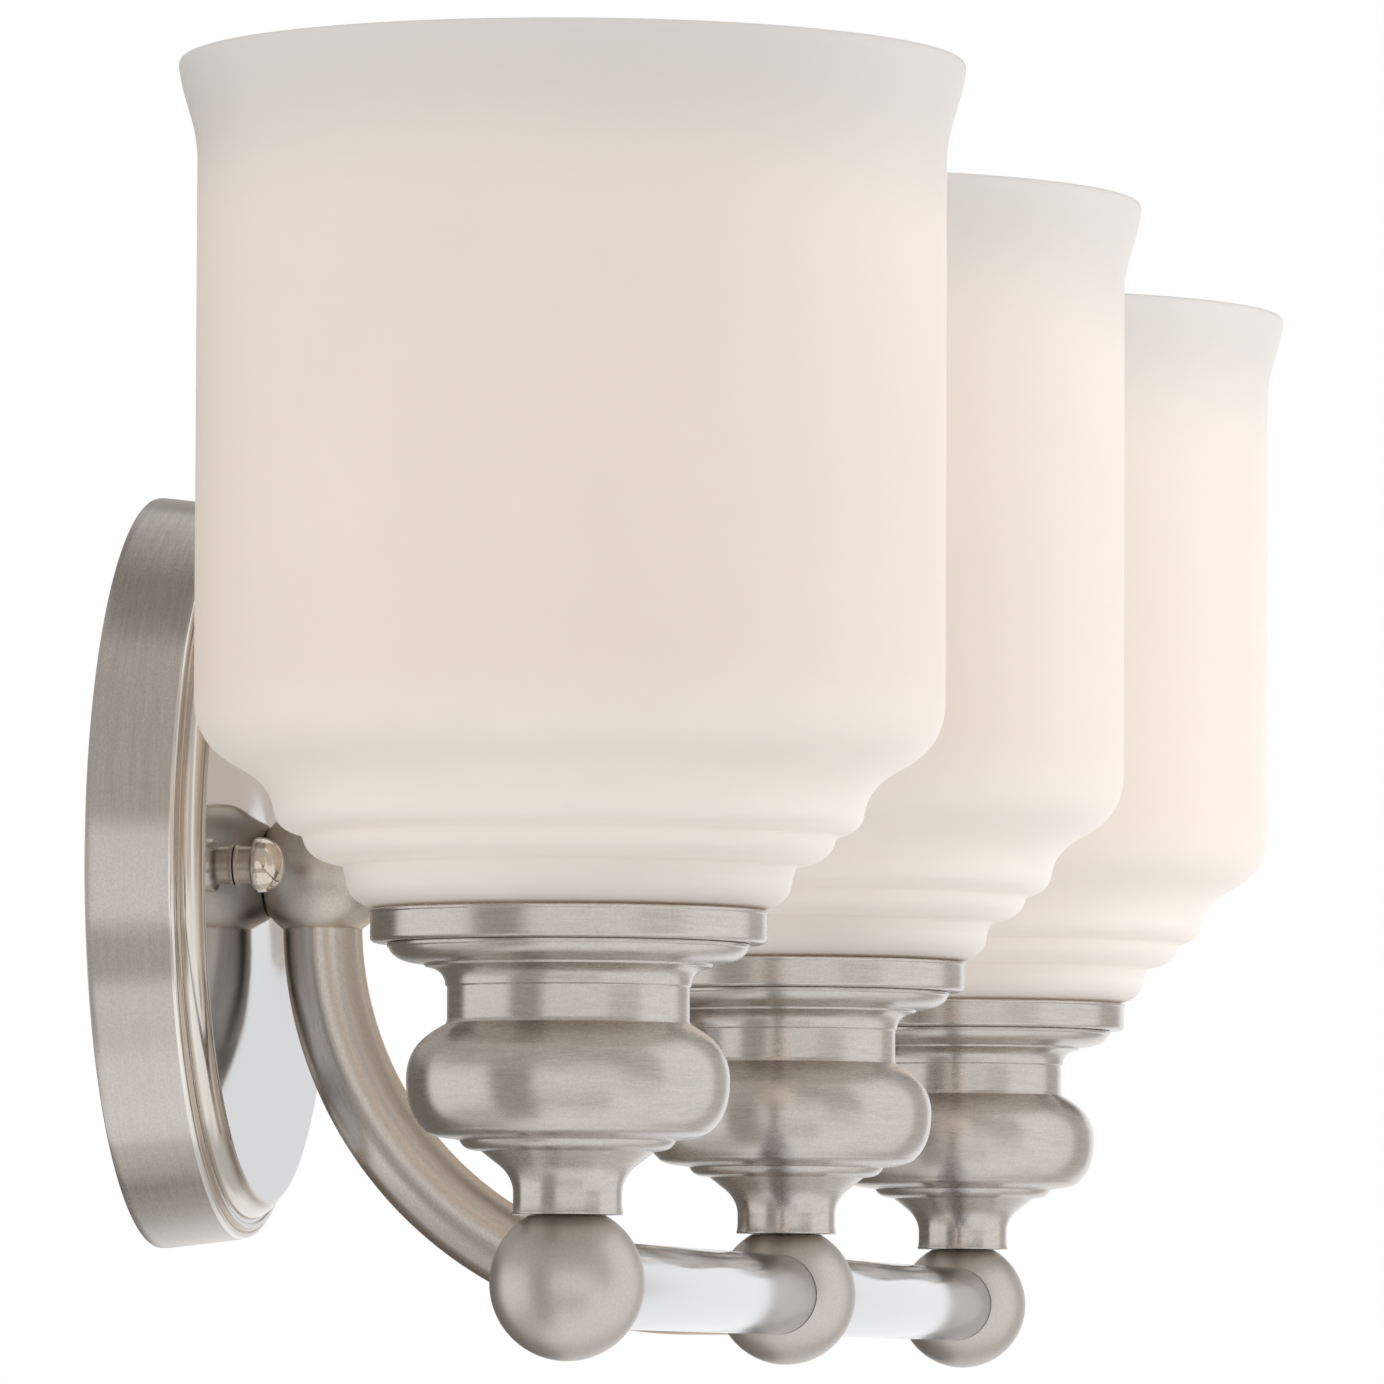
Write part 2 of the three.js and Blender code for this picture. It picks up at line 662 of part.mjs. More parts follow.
function lightGroup(name, x, tubeWays) {
  const group = new THREE.Group();
  group.position.set(x, -lightReach, -ballDrop);
  const place = (part, geometry, material, height) => {
    group.add(piece(`${part}_${name}`, geometry, material, 0, 0, height));
  };
  place('ball', ballGeometry(tubeWays, up, ballFlatHeight), satinNickel, 0);
  place('nipple', shared.nipple, zincSteel, nippleSeat + fit);
  place('cup', shared.cup, satinNickel, cupFoot);
  place('cup_nut', shared.cupNut, zincSteel, cupFoot + cupFloor + fit);
  place('tray', shared.tray, satinNickel, trayFoot);
  place('socket', shared.socket, phenolic, socketFoot);
  place('screw_shell', shared.screwShell, brass, socketFoot + socketFloor + fit);
  place('contact', shared.contact, brass, contactFoot);
  place('ring', shared.ring, phenolic, ringFoot);
  place('shade', shared.shade, opalGlass, shadeFoot);
  place('bulb_cap', shared.bulbCap, brass, bulbFoot);
  place('bulb_glass', shared.bulbGlass, bulbFrost, bulbFoot);
  return group;
}

const vanityLight = new THREE.Group();
vanityLight.add(canopyGroup());
vanityLight.add(frameGroup());
vanityLight.add(lightGroup('left', -lightSpacing, [right]));
vanityLight.add(lightGroup('centre', 0, [left, right, wallward]));
vanityLight.add(lightGroup('right', lightSpacing, [left]));

export default vanityLight;
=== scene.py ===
"""Looks for a three-light vanity bar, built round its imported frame.

Metres, in the frame's axes: X runs along the bar, -Y faces the room and Z is up.
The outline of a turned piece is drawn in millimetres, as (radius, height above its foot),
and is then fitted to the box of the frame node that the piece stands for.
"""

import functools
import math

import bmesh
import bpy
import numpy as np
from mathutils import Matrix, Vector


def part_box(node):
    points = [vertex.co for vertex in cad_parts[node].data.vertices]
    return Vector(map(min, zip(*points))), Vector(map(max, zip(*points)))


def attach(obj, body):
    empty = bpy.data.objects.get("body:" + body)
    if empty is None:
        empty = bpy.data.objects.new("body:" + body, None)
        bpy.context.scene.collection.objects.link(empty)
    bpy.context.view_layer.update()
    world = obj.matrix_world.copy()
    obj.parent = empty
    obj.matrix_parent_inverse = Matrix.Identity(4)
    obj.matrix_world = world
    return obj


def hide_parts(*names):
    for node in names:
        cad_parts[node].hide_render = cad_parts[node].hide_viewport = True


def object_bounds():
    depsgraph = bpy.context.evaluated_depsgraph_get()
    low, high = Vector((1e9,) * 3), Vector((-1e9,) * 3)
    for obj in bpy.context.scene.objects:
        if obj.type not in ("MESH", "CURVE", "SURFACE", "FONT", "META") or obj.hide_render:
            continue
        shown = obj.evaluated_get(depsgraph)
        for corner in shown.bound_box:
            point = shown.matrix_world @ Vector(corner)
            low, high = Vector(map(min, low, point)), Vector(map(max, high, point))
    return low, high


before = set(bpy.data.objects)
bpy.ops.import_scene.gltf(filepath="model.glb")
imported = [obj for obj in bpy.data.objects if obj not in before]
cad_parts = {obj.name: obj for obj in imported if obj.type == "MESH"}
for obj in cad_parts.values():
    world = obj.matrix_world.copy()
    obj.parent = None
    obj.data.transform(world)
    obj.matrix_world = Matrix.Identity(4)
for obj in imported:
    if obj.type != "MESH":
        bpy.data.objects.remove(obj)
CAD_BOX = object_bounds()

MM = 0.001
LIGHTS = ("left", "centre", "right")
OUT_OF_WALL = Matrix.Rotation(math.pi / 2, 3, "X")  # turns +Z to -Y
ALONG_BAR = Matrix.Rotation(math.pi / 2, 3, "Y")  # turns +Z to +X
UPRIGHT = Matrix.Identity(3)
SEATED = 0.0002  # how much of the clearance under a piece is taken up, so that it looks seated


# ---- Outlines ----


def travel(points):
    """How far along a line each of its points lies."""
    steps = np.linalg.norm(np.diff(points, axis=0), axis=1)
    return np.concatenate([[0.0], np.cumsum(steps)])


def stretch(points, start, end):
    """The part of a line that is left when start and end are cut off it."""
    along = travel(points)
    last = along[-1] - end
    keep = (along > start + 1e-6) & (along < last - 1e-6)
    places = np.concatenate([[start], along[keep], [last]])
    return np.stack([np.interp(places, along, points[:, k]) for k in (0, 1)], axis=1)


class Outline:
    """A profile of (radius, height) points, walked up the outside of a turned piece."""

    CURVE_STEPS = 12
    CORNER_STEPS = 4
    HOLD = 0.06  # a short flat at each end of a straight, which keeps the shading of long flats even
    NEAREST = 1e-4  # points that lie closer together than this become one

    def __init__(self, radius, height):
        self.strokes = []
        self.softness = []
        self.here = np.array([radius, height], float)

    def _stroke(self, points, soft):
        self.strokes.append(np.array(points, float))
        self.softness.append(soft)
        self.here = self.strokes[-1][-1]
        return self

    def to(self, radius, height, soft=0.0):
        """A straight stroke. soft is how far from its end the next corner starts to round."""
        end = np.array([radius, height], float)
        length = np.linalg.norm(end - self.here)
        hold = min(self.HOLD, 0.2 * length) * (end - self.here) / max(length, 1e-9)
        return self._stroke([self.here, self.here + hold, end - hold, end], soft)

    def rows(self, radius, height, count, soft=0.0):
        """A straight wall with rows close enough together to take a thread."""
        start = self.here[1]
        for k in range(1, count + 1):
            self.to(radius, start + (height - start) * k / count, soft if k == count else 0.0)
        return self

    def bow(self, control, end, soft=0.0):
        """A curve that heads for one control point and leaves it for the end."""
        t = np.linspace(0, 1, self.CURVE_STEPS + 1)[:, None]
        a, b, c = self.here, np.array(control, float), np.array(end, float)
        return self._stroke((1 - t) ** 2 * a + 2 * t * (1 - t) * b + t**2 * c, soft)

    def swing(self, first, second, end, soft=0.0):
        """A curve with two control points."""
        t = np.linspace(0, 1, 2 * self.CURVE_STEPS + 1)[:, None]
        b, c, d = (np.array(point, float) for point in (first, second, end))
        early = (1 - t) ** 3 * self.here + 3 * t * (1 - t) ** 2 * b
        return self._stroke(early + 3 * t**2 * (1 - t) * c + t**3 * d, soft)

    def arc(self, radius, start, stop, soft=0.0):
        """Part of a circle round height 0 on the axis, between two angles in radians."""
        angles = np.linspace(start, stop, 4 * self.CURVE_STEPS + 1)
        points = radius * np.stack([np.cos(angles), np.sin(angles)], axis=1)
        points[0] = self.here
        return self._stroke(points, soft)

    def points(self):
        """The whole profile, with its corners rounded, as an array of points."""
        corners = range(len(self.strokes) - 1)
        reach = [0.0, *(self._reach(i) for i in corners), 0.0]
        whole = [self.strokes[0][0]]
        for i, stroke in enumerate(self.strokes):
            inner = stretch(stroke, reach[i], reach[i + 1])
            whole.extend(inner[1:] if i == 0 else inner)
            if reach[i + 1]:
                leave = stretch(self.strokes[i + 1], reach[i + 1], 0.0)[0]
                for t in np.arange(1, self.CORNER_STEPS) / self.CORNER_STEPS:
                    arrive = (1 - t) ** 2 * inner[-1]
                    whole.append(arrive + 2 * t * (1 - t) * stroke[-1] + t**2 * leave)
        spaced = whole[:1]
        for point in whole[1:]:
            if np.linalg.norm(point - spaced[-1]) > self.NEAREST:
                spaced.append(point)
        return np.array(spaced)

    def _reach(self, i):
        shorter = min(travel(self.strokes[i])[-1], travel(self.strokes[i + 1])[-1])
        return min(self.softness[i], 0.45 * shorter)


# ---- Turned pieces ----


def middle(node):
    low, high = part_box(node)
    return (low + high) / 2


def axis_box(node, turn):
    """A node's foot, height and radius, measured along the axis that turn sends +Z to."""
    low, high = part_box(node)
    half = (high - low) / 2
    axis = turn @ Vector((0, 0, 1))
    across = turn @ Vector((1, 0, 0))
    reach = sum(abs(axis[i]) * half[i] for i in range(3))
    radius = sum(abs(across[i]) * half[i] for i in range(3))
    return middle(node) - axis * reach, 2 * reach, radius


def fitted(outline, node, turn=UPRIGHT, sink=0.0):
    """The outline's points in metres, stretched to the node's radius and height, and its foot.
    sink brings the foot that much nearer to what the piece stands on."""
    foot, height, radius = axis_box(node, turn)
    foot, height = foot - turn @ Vector((0, 0, sink)), height + sink
    points = outline.points()
    low, high = points[:, 1].min(), points[:, 1].max()
    scaled = np.empty_like(points)
    scaled[:, 0] = points[:, 0] * radius / points[:, 0].max()
    scaled[:, 1] = (points[:, 1] - low) * height / (high - low)
    return scaled, foot


def round_angles(sides):
    return np.arange(sides) * 2 * math.pi / sides


def unit_circle(sides):
    angles = round_angles(sides)
    return np.column_stack([np.cos(angles), np.sin(angles)])


def hexagon(flats):
    """How far out the sides of a hexagon lie at each angle, in metres."""
    return lambda angle: flats / 2 / np.cos((angle + math.pi / 6) % (math.pi / 3) - math.pi / 6)


def turned(name, profile, foot, turn=UPRIGHT, sides=96, limit=None):
    """A solid of revolution about the axis that turn sends +Z to."""
    level = np.column_stack([unit_circle(sides), np.zeros(sides)])
    rows = []
    for radius, height in profile:
        if radius < 1e-7:
            rows.append(np.array([[0.0, 0.0, height]]))
            continue
        reach = np.full(sides, radius)
        if limit is not None:
            reach = np.minimum(radius, limit(round_angles(sides)))
        rows.append(level * reach[:, None] + (0, 0, height))
    return skin(name, rows, profile, sides, np.array(turn).T, np.array(foot))


def skin(name, rows, profile, sides, spin, foot):
    """Joins rings of points into one closed mesh. Its attributes say how far along the profile and
    round the axis each point lies (grain), where it is on the piece (place) and which way is out."""
    along = travel(profile)
    closed = len(rows[0]) > 1
    count = len(rows) - 1 if closed else len(rows)
    starts = np.concatenate([[0], np.cumsum([len(row) for row in rows[:count]])]).astype(int)
    grain, out = [], []
    for row, s in zip(rows[:count], along):
        flat = unit_circle(sides) if len(row) > 1 else np.zeros((1, 2))
        grain.append(np.column_stack([flat, np.full(len(row), s)]))
        out.append(np.column_stack([flat, np.zeros(len(row))]))
    faces, uvs = [], []
    for i in range(len(rows) - 1):
        k = (i + 1) % count
        single, top = len(rows[i]) == 1, len(rows[k]) == 1
        for j in range(sides):
            n, u0, u1 = (j + 1) % sides, j / sides, (j + 1) / sides
            low_a, low_b = starts[i] + (0 if single else j), starts[i] + (0 if single else n)
            top_b, top_a = starts[k] + (0 if top else n), starts[k] + (0 if top else j)
            corners = [(low_a, u0, along[i]), (low_b, u1, along[i])][: 1 if single else 2]
            corners += [(top_b, u1, along[i + 1]), (top_a, u0, along[i + 1])][1 if top else 0 :]
            faces.append([int(corner[0]) for corner in corners])
            uvs.extend(corner[1:] for corner in corners)
    local = np.concatenate(rows[:count])
    marks = {"grain": np.concatenate(grain), "place": local, "out": np.concatenate(out) @ spin}
    return new_piece(name, local @ spin + foot, faces, uvs, marks)


def placed(name, data):
    """A new object at the origin, with its place in its data."""
    piece = bpy.data.objects.new(name, data)
    bpy.context.scene.collection.objects.link(piece)
    return piece


def new_piece(name, places, faces, uvs, marks):
    mesh = bpy.data.meshes.new(name)
    mesh.from_pydata([tuple(p) for p in places], [], faces)
    layer = mesh.uv_layers.new(name="UVMap")
    layer.data.foreach_set("uv", np.array(uvs, np.float32).ravel())
    for label, values in marks.items():
        attribute = mesh.attributes.new(label, "FLOAT_VECTOR", "POINT")
        attribute.data.foreach_set("vector", np.array(values, np.float32).ravel())
    mesh.shade_smooth()
    mesh.update()
    return placed(name, mesh)


def applied(piece, modifier):
    """Keeps what a modifier makes of a piece as its plain mesh."""
    depsgraph = bpy.context.evaluated_depsgraph_get()
    mesh = bpy.data.meshes.new_from_object(piece.evaluated_get(depsgraph), depsgraph=depsgraph)
    piece.modifiers.remove(modifier)
    old = piece.data
    piece.data = mesh
    bpy.data.meshes.remove(old)
    mesh.name = piece.name


def dress(piece, material, slot, body, *nodes):
    """Gives a piece its finish and its body, and hides the frame nodes that it stands for."""
    piece.data.materials.clear()
    piece.data.materials.append(material)
    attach(piece, body)
    if nodes:
        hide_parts(*nodes)
    return piece


# ---- Node trees ----


class Tree:
    """A small helper that adds nodes by type and links them by socket name."""

    def __init__(self, tree):
        self.tree = tree

    def add(self, kind, settings=None, **inputs):
        node = self.tree.nodes.new(kind)
        for key, value in (settings or {}).items():
            setattr(node, key, value)
        for key, value in inputs.items():
            self.put(node, key.replace("_", " "), value)
        return node

    def put(self, node, key, value):
        """Links or sets an input, which is given by its name or its number."""
        socket = node.inputs[key]
        if isinstance(value, bpy.types.NodeSocket):
            self.tree.links.new(value, socket)
        else:
            socket.default_value = value

    def math(self, operation, *values):
        node = self.add("ShaderNodeMath", {"operation": operation})
        for i, value in enumerate(values):
            self.put(node, i, value)
        return node.outputs[0]

    def sum(self, *values):
        return functools.reduce(functools.partial(self.math, "ADD"), values)

    def product(self, *values):
        return functools.reduce(functools.partial(self.math, "MULTIPLY"), values)

    def scaled(self, vector, scale):
        node = self.add("ShaderNodeVectorMath", {"operation": "SCALE"}, Scale=scale)
        self.put(node, 0, vector)
        return node.outputs[0]


def new_tree(name, **inputs):
    """A geometry tree with a Geometry input and output and the given named inputs."""
    tree = bpy.data.node_groups.new(name, "GeometryNodeTree")
    for label, kind in {"Geometry": "Geometry", **inputs}.items():
        tree.interface.new_socket(label, in_out="INPUT", socket_type=f"NodeSocket{kind}")
    tree.interface.new_socket("Geometry", in_out="OUTPUT", socket_type="NodeSocketGeometry")
    t = Tree(tree)
    return t, t.add("NodeGroupInput").outputs, t.add("NodeGroupOutput")


def close_tree(t, geometry, material, end):
    realized = t.add("GeometryNodeRealizeInstances", Geometry=geometry)
    painted = t.add("GeometryNodeSetMaterial", Geometry=realized.outputs[0], Material=material)
    t.put(end, "Geometry", painted.outputs[0])
    return t.tree


def grown(piece, tree, **values):
    """Runs a geometry tree on a piece and keeps the result as its plain mesh."""
    modifier = piece.modifiers.new("shape", "NODES")
    modifier.node_group = tree
    for item in tree.interface.items_tree:
        if item.in_out == "INPUT" and item.name.lower() in values:
            modifier[item.identifier] = values[item.name.lower()]
    applied(piece, modifier)


def named_vector(t, label):
    return t.add("GeometryNodeInputNamedAttribute", {"data_type": "FLOAT_VECTOR"}, Name=label).outputs[0]


def thread_tree():
    """Cuts a helical thread into the wall of a turned piece, between two heights above its foot."""
    sizes = dict.fromkeys(("Core", "Pitch", "Depth", "Start", "End"), "Float")
    t, given, end = new_tree("cut_thread", Material="Material", **sizes)
    parts = t.add("ShaderNodeSeparateXYZ", Vector=named_vector(t, "place")).outputs
    squares = [t.math("POWER", parts[axis], 2) for axis in ("X", "Y")]
    reach = t.math("SQRT", t.sum(*squares))
    turns = t.math("DIVIDE", t.math("ARCTAN2", parts["Y"], parts["X"]), 2 * math.pi)
    phase = t.math("SUBTRACT", t.math("DIVIDE", parts["Z"], given["Pitch"]), turns)
    wave = t.math("MULTIPLY", t.math("PINGPONG", phase, 0.5), 2)
    on_wall = t.math("GREATER_THAN", reach, given["Core"])
    above = t.math("GREATER_THAN", parts["Z"], given["Start"])
    below = t.math("LESS_THAN", parts["Z"], given["End"])
    cut = t.product(t.math("SUBTRACT", wave, 1), on_wall, above, below, given["Depth"])
    offset = t.scaled(named_vector(t, "out"), cut)
    moved = t.add("GeometryNodeSetPosition", Geometry=given["Geometry"], Offset=offset)
    return close_tree(t, moved.outputs[0], given["Material"], end)


def rib_tree():
    """Stands a row of round ribs in a circle on a turned piece, for a finger grip."""
    sizes = dict.fromkeys(("Circle", "Thickness", "Height"), "Float")
    t, given, end = new_tree("grip_ribs", Material="Material", Count="Int", **sizes, Middle="Vector")
    circle = t.add("GeometryNodeMeshCircle", Vertices=given["Count"], Radius=given["Circle"]).outputs[0]
    size = {"Vertices": 8, "Side_Segments": 1, "Radius": given["Thickness"], "Depth": given["Height"]}
    rib = t.add("GeometryNodeMeshCylinder", **size).outputs["Mesh"]
    ribs = t.add("GeometryNodeInstanceOnPoints", Points=circle, Instance=rib).outputs[0]
    moved = t.add("GeometryNodeTransform", Geometry=ribs, Translation=given["Middle"]).outputs[0]
    both = t.add("GeometryNodeJoinGeometry")
    for geometry in (given["Geometry"], moved):
        t.tree.links.new(geometry, both.inputs[0])
    return close_tree(t, both.outputs[0], given["Material"], end)


# ---- Finishes ----


class Finish(Tree):
    """A material. Its even values sit on the shader itself, and nodes give those that vary."""

    def __init__(self, name, color, metallic, roughness, even=None):
        self.material = bpy.data.materials.new(name)
        self.material.use_nodes = True
        super().__init__(self.material.node_tree)
        self.shader = self.tree.nodes["Principled BSDF"]
        self.color = color
        values = {"Base Color": (*color, 1), "Metallic": metallic, "Roughness": roughness}
        for key, value in {**values, **(even or {})}.items():
            self.put(self.shader, key, value)

    def cover(self, tone, roughness, relief, depth, color=None):
        """Links the colour times its tone, the roughness, and a relief that is depth metres deep."""
        self.put(self.shader, "Base Color", self.scaled(self.color if color is None else color, tone))
        self.put(self.shader, "Roughness", roughness)
        bump = self.add("ShaderNodeBump", Height=relief, Distance=depth)
        self.put(self.shader, "Normal", bump.outputs[0])
        return self.material


def ranged(t, value, settings=None, **ends):
    node = t.add("ShaderNodeMapRange", settings, Value=value, **ends)
    return node.outputs[0]


def spread(t, value, low, high):
    """Maps a noise value of about 0.3 to 0.7 onto low to high."""
    return ranged(t, value, From_Min=0.3, From_Max=0.7, To_Min=low, To_Max=high)


def smooth_step(t, value, start, end):
    """Goes gently from 0 to 1 as the value goes from start to end."""
    return ranged(t, value, {"interpolation_type": "SMOOTHSTEP"}, From_Min=start, From_Max=end)


def blended(t, first, second, amount):
    """The first colour where the amount is 0 and the second where it is 1."""
    node = t.add("ShaderNodeMix", {"data_type": "RGBA"})
    node.inputs[6].default_value, node.inputs[7].default_value = (*first, 1), (*second, 1)
    t.put(node, 0, amount)
    return node.outputs[2]


def noise(t, vector, scale, detail=3.0, roughness=0.5):
    node = t.add("ShaderNodeTexNoise", Vector=vector, Scale=scale, Detail=detail, Roughness=roughness)
    return node.outputs[0]


def object_place(t, scale=(1, 1, 1)):
    coordinate = t.add("ShaderNodeTexCoord").outputs["Object"]
    return t.add("ShaderNodeMapping", Vector=coordinate, Scale=scale).outputs[0]


def patches(t, scale, detail=3.0):
    """Soft patches in space. scale is how many there are to the metre, more or less."""
    return noise(t, object_place(t), scale, detail)


def attribute(t, name):
    return t.add("ShaderNodeAttribute", {"attribute_name": name}).outputs["Vector"]


def height_above_foot(t):
    return t.add("ShaderNodeSeparateXYZ", Vector=attribute(t, "place")).outputs["Z"]


def brush_lines(t, lines_per_metre, round_runs):
    """Fine lines that run round a turned piece: many along its profile, few round its axis."""
    size = (round_runs, round_runs, lines_per_metre)
    return t.add("ShaderNodeMapping", Vector=attribute(t, "grain"), Scale=size).outputs[0]


def hairlines(t):
    return noise(t, brush_lines(t, 2600, 5), 1.0, 3.0)


# lines per metre, runs round the axis, turn of the pull, and how much the tone varies along the
# lines and from spot to spot
ROUND_BRUSH = (4200, 9, 0.25, 0.12, 0.05)
BAND_BRUSH = (4200, 9, 0.25, 0.08, 0.06)
GRITTY_BRUSH = (4200, 9, 0.25, 0.12, 0.07)
LONG_BRUSH = (60, 45, 0.0, 0.06, 0.07)


def brushed_nickel(name, color, roughness, pull, depth, brush=ROUND_BRUSH, edge=(1, 1, 1)):
    """Brushed nickel plate: its highlights are pulled out across the brush lines.
    edge is the tint of what curves away."""
    lines, runs, turn, streaks, grit = brush
    even = {"Specular Tint": (*edge, 1), "Anisotropic": pull, "Anisotropic Rotation": turn}
    t = Finish(name, color, 1.0, roughness, even)
    tangent = t.add("ShaderNodeTangent", {"direction_type": "UV_MAP", "uv_map": "UVMap"})
    t.put(t.shader, "Tangent", tangent.outputs[0])
    fine = noise(t, brush_lines(t, lines, runs), 1.0, 4.0, 0.65)
    broad = noise(t, brush_lines(t, lines / 4.5, runs / 3), 1.0, 2.0)
    streak = t.sum(t.product(fine, 0.6), t.product(broad, 0.4))
    cloud = patches(t, 26.0)
    speck = patches(t, 2400.0, 1.0)
    tone = t.product(
        spread(t, streak, 1 - streaks, 1 + streaks),
        spread(t, cloud, 0.97, 1.03),
        spread(t, speck, 1 - grit, 1 + grit),
    )
    worn = t.sum(spread(t, streak, -0.04, 0.04), spread(t, cloud, -0.02, 0.02), roughness)
    return t.cover(tone, worn, streak, depth)


SCRATCH = 0.0000015  # depth of the hairlines in polished nickel


def polished_nickel(name, color, dullness=0.05):
    """Bright nickel with a faint cloud of handling marks and hairline scratches."""
    t = Finish(name, color, 1.0, dullness)
    cloud = patches(t, 38.0, 4.0)
    hairs = hairlines(t)
    dull = t.sum(spread(t, cloud, 0.0, 0.035), spread(t, hairs, -0.01, 0.02), dullness)
    return t.cover(spread(t, cloud, 0.98, 1.015), dull, hairs, SCRATCH)


# depth in front of the wall, in millimetres, and the colour of the canopy's mouldings there: painted
# highlights on the crests and painted shade in the grooves
MOULDING_PAINTED_TONES = (
    (16.2, (0.80, 0.77, 0.73)),
    (16.9, (0.80, 0.77, 0.73)),
    (17.4, (0.44, 0.37, 0.30)),
    (18.3, (0.47, 0.40, 0.33)),
    (18.8, (0.74, 0.70, 0.65)),
    (20.2, (0.70, 0.655, 0.60)),
    (20.7, (0.54, 0.49, 0.43)),
    (21.1, (0.33, 0.27, 0.21)),
    (21.5, (0.33, 0.27, 0.21)),
    (21.9, (0.62, 0.59, 0.55)),
)


def moulding_painted_light(name):
    """Polished mouldings, with painted highlights that make their crests bright and painted shade that
    makes their grooves brown.
    """
    (first, first_tone), (last, last_tone) = MOULDING_PAINTED_TONES[0], MOULDING_PAINTED_TONES[-1]
    t = Finish(name, first_tone, 1.0, 0.12)
    cloud = patches(t, 30.0, 4.0)
    depth = t.sum(t.math("DIVIDE", height_above_foot(t), MM), spread(t, cloud, -0.12, 0.12))
    part = t.math("DIVIDE", t.math("SUBTRACT", depth, first), last - first)
    # the ramp paints highlights and shade onto the mouldings by their depth
    ramp = t.add("ShaderNodeValToRGB", Fac=part)
    stops = ramp.color_ramp.elements
    for place, color in MOULDING_PAINTED_TONES[1:-1]:
        stops.new((place - first) / (last - first)).color = (*color, 1)
    stops[0].color, stops[-1].color = (*first_tone, 1), (*last_tone, 1)
    hairs = hairlines(t)
    tone = t.product(spread(t, cloud, 0.94, 1.06), spread(t, hairs, 0.94, 1.06))
    dull = t.sum(spread(t, cloud, 0.09, 0.15), spread(t, hairs, -0.01, 0.02))
    return t.cover(tone, dull, hairs, SCRATCH, ramp.outputs[0])


def zinc_plate(name):
    """Zinc plated steel: grey with a coarse spangle and dull patches."""
    t = Finish(name, (0.50, 0.51, 0.53), 1.0, 0.4)
    spangle = t.add("ShaderNodeTexVoronoi", Vector=object_place(t), Scale=420.0).outputs["Distance"]
    cloud = patches(t, 60.0, 4.0)
    tone = t.product(t.sum(t.product(spangle, 0.2), 0.88), spread(t, cloud, 0.9, 1.06))
    return t.cover(tone, spread(t, cloud, 0.3, 0.5), cloud, 0.00002)


def brass_sheet(name):
    """Drawn brass, a little tarnished."""
    t = Finish(name, (0.60, 0.44, 0.19), 1.0, 0.3)
    cloud = patches(t, 120.0, 4.0)
    return t.cover(spread(t, cloud, 0.82, 1.06), spread(t, cloud, 0.22, 0.42), cloud, 0.000012)


def green_lacquer(name):
    """The green of a ground screw, thin over steel."""
    t = Finish(name, (0.045, 0.22, 0.075), 0.6, 0.35)
    cloud = patches(t, 300.0)
    return t.cover(spread(t, cloud, 0.75, 1.15), spread(t, cloud, 0.28, 0.45), cloud, 0.00001)


def phenolic(name):
    """Dark moulded phenolic with fine flow marks and pits."""
    t = Finish(name, (0.022, 0.019, 0.017), 0.0, 0.42)
    flow = noise(t, object_place(t, (1, 1, 0.35)), 160.0, 5.0, 0.6)
    pits = patches(t, 900.0, 2.0)
    return t.cover(spread(t, flow, 0.8, 1.35), spread(t, flow, 0.34, 0.5), pits, 0.00002)


OPAL, OPAL_SHADED_FOOT = (0.80, 0.755, 0.715), (0.72, 0.665, 0.615)  # the foot's darker colour is painted shade, where less light gets into the glass
GLOW = 0.14  # strength of the painted glow, an emission that stands in for the lamps lighting the glass from inside
FOOT_GLOW = 0.015  # the painted glow that the glass's foot, nearest the lamp, has on top of that
GLOW_WARM, GLOW_PALE = (1.0, 0.68, 0.42), (1.0, 0.84, 0.70)


def opal_glass(name):
    """Etched opal glass with a painted glow for the lamp's light inside: warm in the middle, paler low
    down, dull at the lip, and painted shade at the foot.
    """
    t = Finish(name, OPAL, 0.0, 0.42, {
        "Specular IOR Level": 0.35,
        "Subsurface Weight": 0.5,
        "Subsurface Radius": (1.0, 0.9, 0.8),
        "Subsurface Scale": 0.010,
    })
    cloud = patches(t, 11.0)
    height = t.sum(height_above_foot(t), spread(t, cloud, -0.004, 0.004))
    # painted glow: the glass emits light though it is no lamp, fading out at the foot and at the lip
    lit = t.product(smooth_step(t, height, -0.004, 0.016), smooth_step(t, height, 0.150, 0.120))
    low = smooth_step(t, height, 0.046, 0.028)
    glow = t.product(t.math("MULTIPLY_ADD", low, FOOT_GLOW, GLOW), spread(t, cloud, 0.88, 1.12), lit)
    t.put(t.shader, "Emission Strength", glow)
    t.put(t.shader, "Emission Color", blended(t, GLOW_WARM, GLOW_PALE, low))
    etch = patches(t, 1500.0, 2.0)
    # painted shade: a darker colour at the foot
    body = blended(t, OPAL_SHADED_FOOT, OPAL, smooth_step(t, height, -0.002, 0.014))
    return t.cover(spread(t, cloud, 0.985, 1.01), spread(t, etch, 0.38, 0.48), etch, 0.000006, body)


def frosted_glass(name):
    """The lamp's frosted envelope, softly lit from inside."""
    t = Finish(name, (0.88, 0.86, 0.82), 0.0, 0.3, {"Emission Color": (1.0, 0.88, 0.68, 1)})
    frost = patches(t, 700.0)
    cloud = patches(t, 40.0, 2.0)
    t.put(t.shader, "Emission Strength", spread(t, cloud, 0.30, 0.42))
    return t.cover(spread(t, cloud, 0.96, 1.02), spread(t, frost, 0.24, 0.36), frost, 0.000008)


